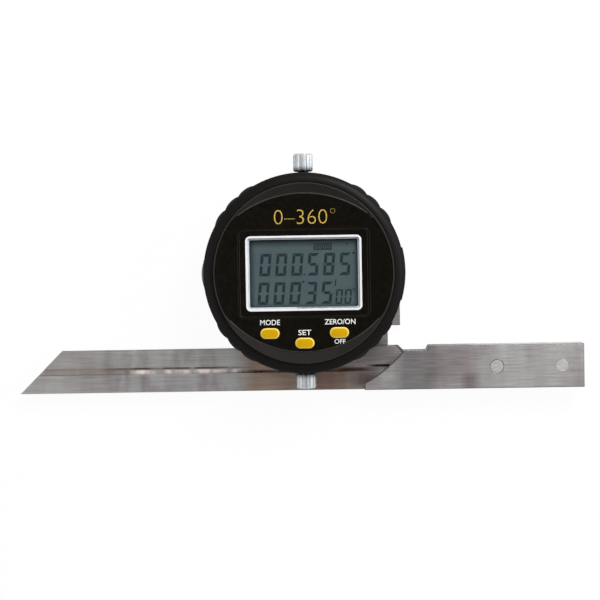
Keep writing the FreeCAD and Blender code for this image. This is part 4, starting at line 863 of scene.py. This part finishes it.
# The mode flag above the reading: a dark frame with bars, and a small dark field in each of its
# windows, all in mm.
FLAG_MIDDLE = (6.7, 9.15)
FLAG_WIDTH = 6.3
FLAG_HEIGHT = 2.35
FLAG_WINDOWS = 4
FLAG_RIM = 0.5
FLAG_FIELD = (0.55, 0.9)
FLAG_CELL = (FLAG_WIDTH - FLAG_RIM) / FLAG_WINDOWS
FLAG_START = FLAG_MIDDLE[0] - FLAG_WIDTH / 2 + FLAG_RIM / 2
flag = bmesh.new()
for side in (-1, 1):
    add_mark(flag, box_of(FLAG_WIDTH, FLAG_RIM),
             (FLAG_MIDDLE[0], FLAG_MIDDLE[1] + side * (FLAG_HEIGHT - FLAG_RIM) / 2))
for at in range(FLAG_WINDOWS + 1):
    add_mark(flag, box_of(FLAG_RIM, FLAG_HEIGHT - 2 * FLAG_RIM),
             (FLAG_START + at * FLAG_CELL, FLAG_MIDDLE[1]))
for at in range(FLAG_WINDOWS):
    add_mark(flag, box_of(*FLAG_FIELD), (FLAG_START + (at + 0.5) * FLAG_CELL, FLAG_MIDDLE[1]))
finish_piece(piece_from_mesh("mode_flag", flag), dark_segment, "head")


# The floor: white, with most of its brightness its own, so that only a faint shadow shows. Its
# size and how far it lies below the object, in metres, and the share that is its own.
FLOOR_SIZE = 4.0
FLOOR_DROP = 0.2 * MM
FLOOR_GLOW = 0.955
floor_form = bmesh.new()
bmesh.ops.create_grid(floor_form, x_segments=1, y_segments=1, size=FLOOR_SIZE / 2)
floor = piece_from_mesh("floor", floor_form)
paper = bpy.data.materials.new("white_paper_sweep")
paper.use_nodes = True
tree = paper.node_tree
tree.nodes.clear()
path = add_node(tree, "ShaderNodeLightPath").outputs
seen = calculate(tree, "MULTIPLY", path["Is Camera Ray"], FLOOR_GLOW)
matt = add_node(tree, "ShaderNodeBsdfDiffuse", None, {"Color": tone("#f4f4f4")}).outputs[0]
glow = add_node(tree, "ShaderNodeEmission", None,
                {"Color": tone("#ffffff"), "Strength": 1.0}).outputs[0]
mixed = add_node(tree, "ShaderNodeMixShader", None, {0: seen, 1: matt, 2: glow}).outputs[0]
add_node(tree, "ShaderNodeOutputMaterial", None, {"Surface": mixed})
floor.data.materials.append(paper)
floor.location.z = -FLOOR_DROP

# A dark card above the camera, which only reflections see: it keeps the gloss panel black. Half its
# size and its place, in metres.
CARD_HALF = 0.18
CARD_PLACE = (0.0, -0.02, 1.0)
card_form = bmesh.new()
bmesh.ops.create_grid(card_form, x_segments=1, y_segments=1, size=CARD_HALF)
card = piece_from_mesh("dark_card", card_form)
card.location = CARD_PLACE
card.visible_camera = False
card.visible_diffuse = False
card.visible_shadow = False
card.visible_transmission = False
felt = bpy.data.materials.new("black_felt_card")
felt.use_nodes = True
felt.node_tree.nodes.clear()
dark = add_node(felt.node_tree, "ShaderNodeEmission", None,
                {"Color": tone("#1c1a19"), "Strength": 1.0}).outputs[0]
add_node(felt.node_tree, "ShaderNodeOutputMaterial", None, {"Surface": dark})
card.data.materials.append(felt)

# The room: white for what the camera and the reflections see, dimmer for the light it gives.
ROOM_LIGHT = 0.28
world = bpy.data.worlds.new("white_room")
bpy.context.scene.world = world
world.use_nodes = True
tree = world.node_tree
tree.nodes.clear()
path = add_node(tree, "ShaderNodeLightPath").outputs
white = calculate(tree, "MAXIMUM", path["Is Camera Ray"], path["Is Glossy Ray"])
white = calculate(tree, "MAXIMUM", white, path["Is Transmission Ray"])
strength = spread(tree, white, 0.0, 1.0, ROOM_LIGHT, 1.0)
sky = add_node(tree, "ShaderNodeBackground", None,
               {"Color": tone("#ffffff"), "Strength": strength}).outputs[0]
add_node(tree, "ShaderNodeOutputWorld", None, {"Surface": sky})

# The lamps: name, place in metres, size in metres and power in watts. Each looks at the object.
LAMPS = [
    ("key_softbox", (0.42, 0.64, 0.74), 0.45, 12.0),
    ("left_softbox", (-0.85, -0.15, 0.55), 0.5, 1.6),
    ("right_softbox", (0.88, 0.12, 0.5), 0.5, 3.2),
]
for name, where, size, power in LAMPS:
    lamp = bpy.data.lights.new(name, "AREA")
    lamp.size = size
    lamp.energy = power
    holder = bpy.data.objects.new(name, lamp)
    bpy.context.scene.collection.objects.link(holder)
    holder.location = where
    holder.rotation_euler = (-Vector(where)).to_track_quat("-Z", "Y").to_euler()

# The camera.
lens = bpy.data.cameras.new("camera")
lens.sensor_width = SENSOR_WIDTH
lens.lens = FOCAL_PIXELS / FRAME_PIXELS * SENSOR_WIDTH
lens.clip_start = 0.01
camera = bpy.data.objects.new("camera", lens)
bpy.context.scene.collection.objects.link(camera)
turn = Euler((TILT_X, TILT_Y, ROLL), "XYZ").to_matrix().transposed().to_4x4()
camera.matrix_world = (Matrix.Translation(LOOK_AT) @ turn
                       @ Matrix.Translation((0, 0, CAMERA_DISTANCE)))
bpy.context.scene.camera = camera
bpy.context.scene.view_settings.view_transform = "Standard"
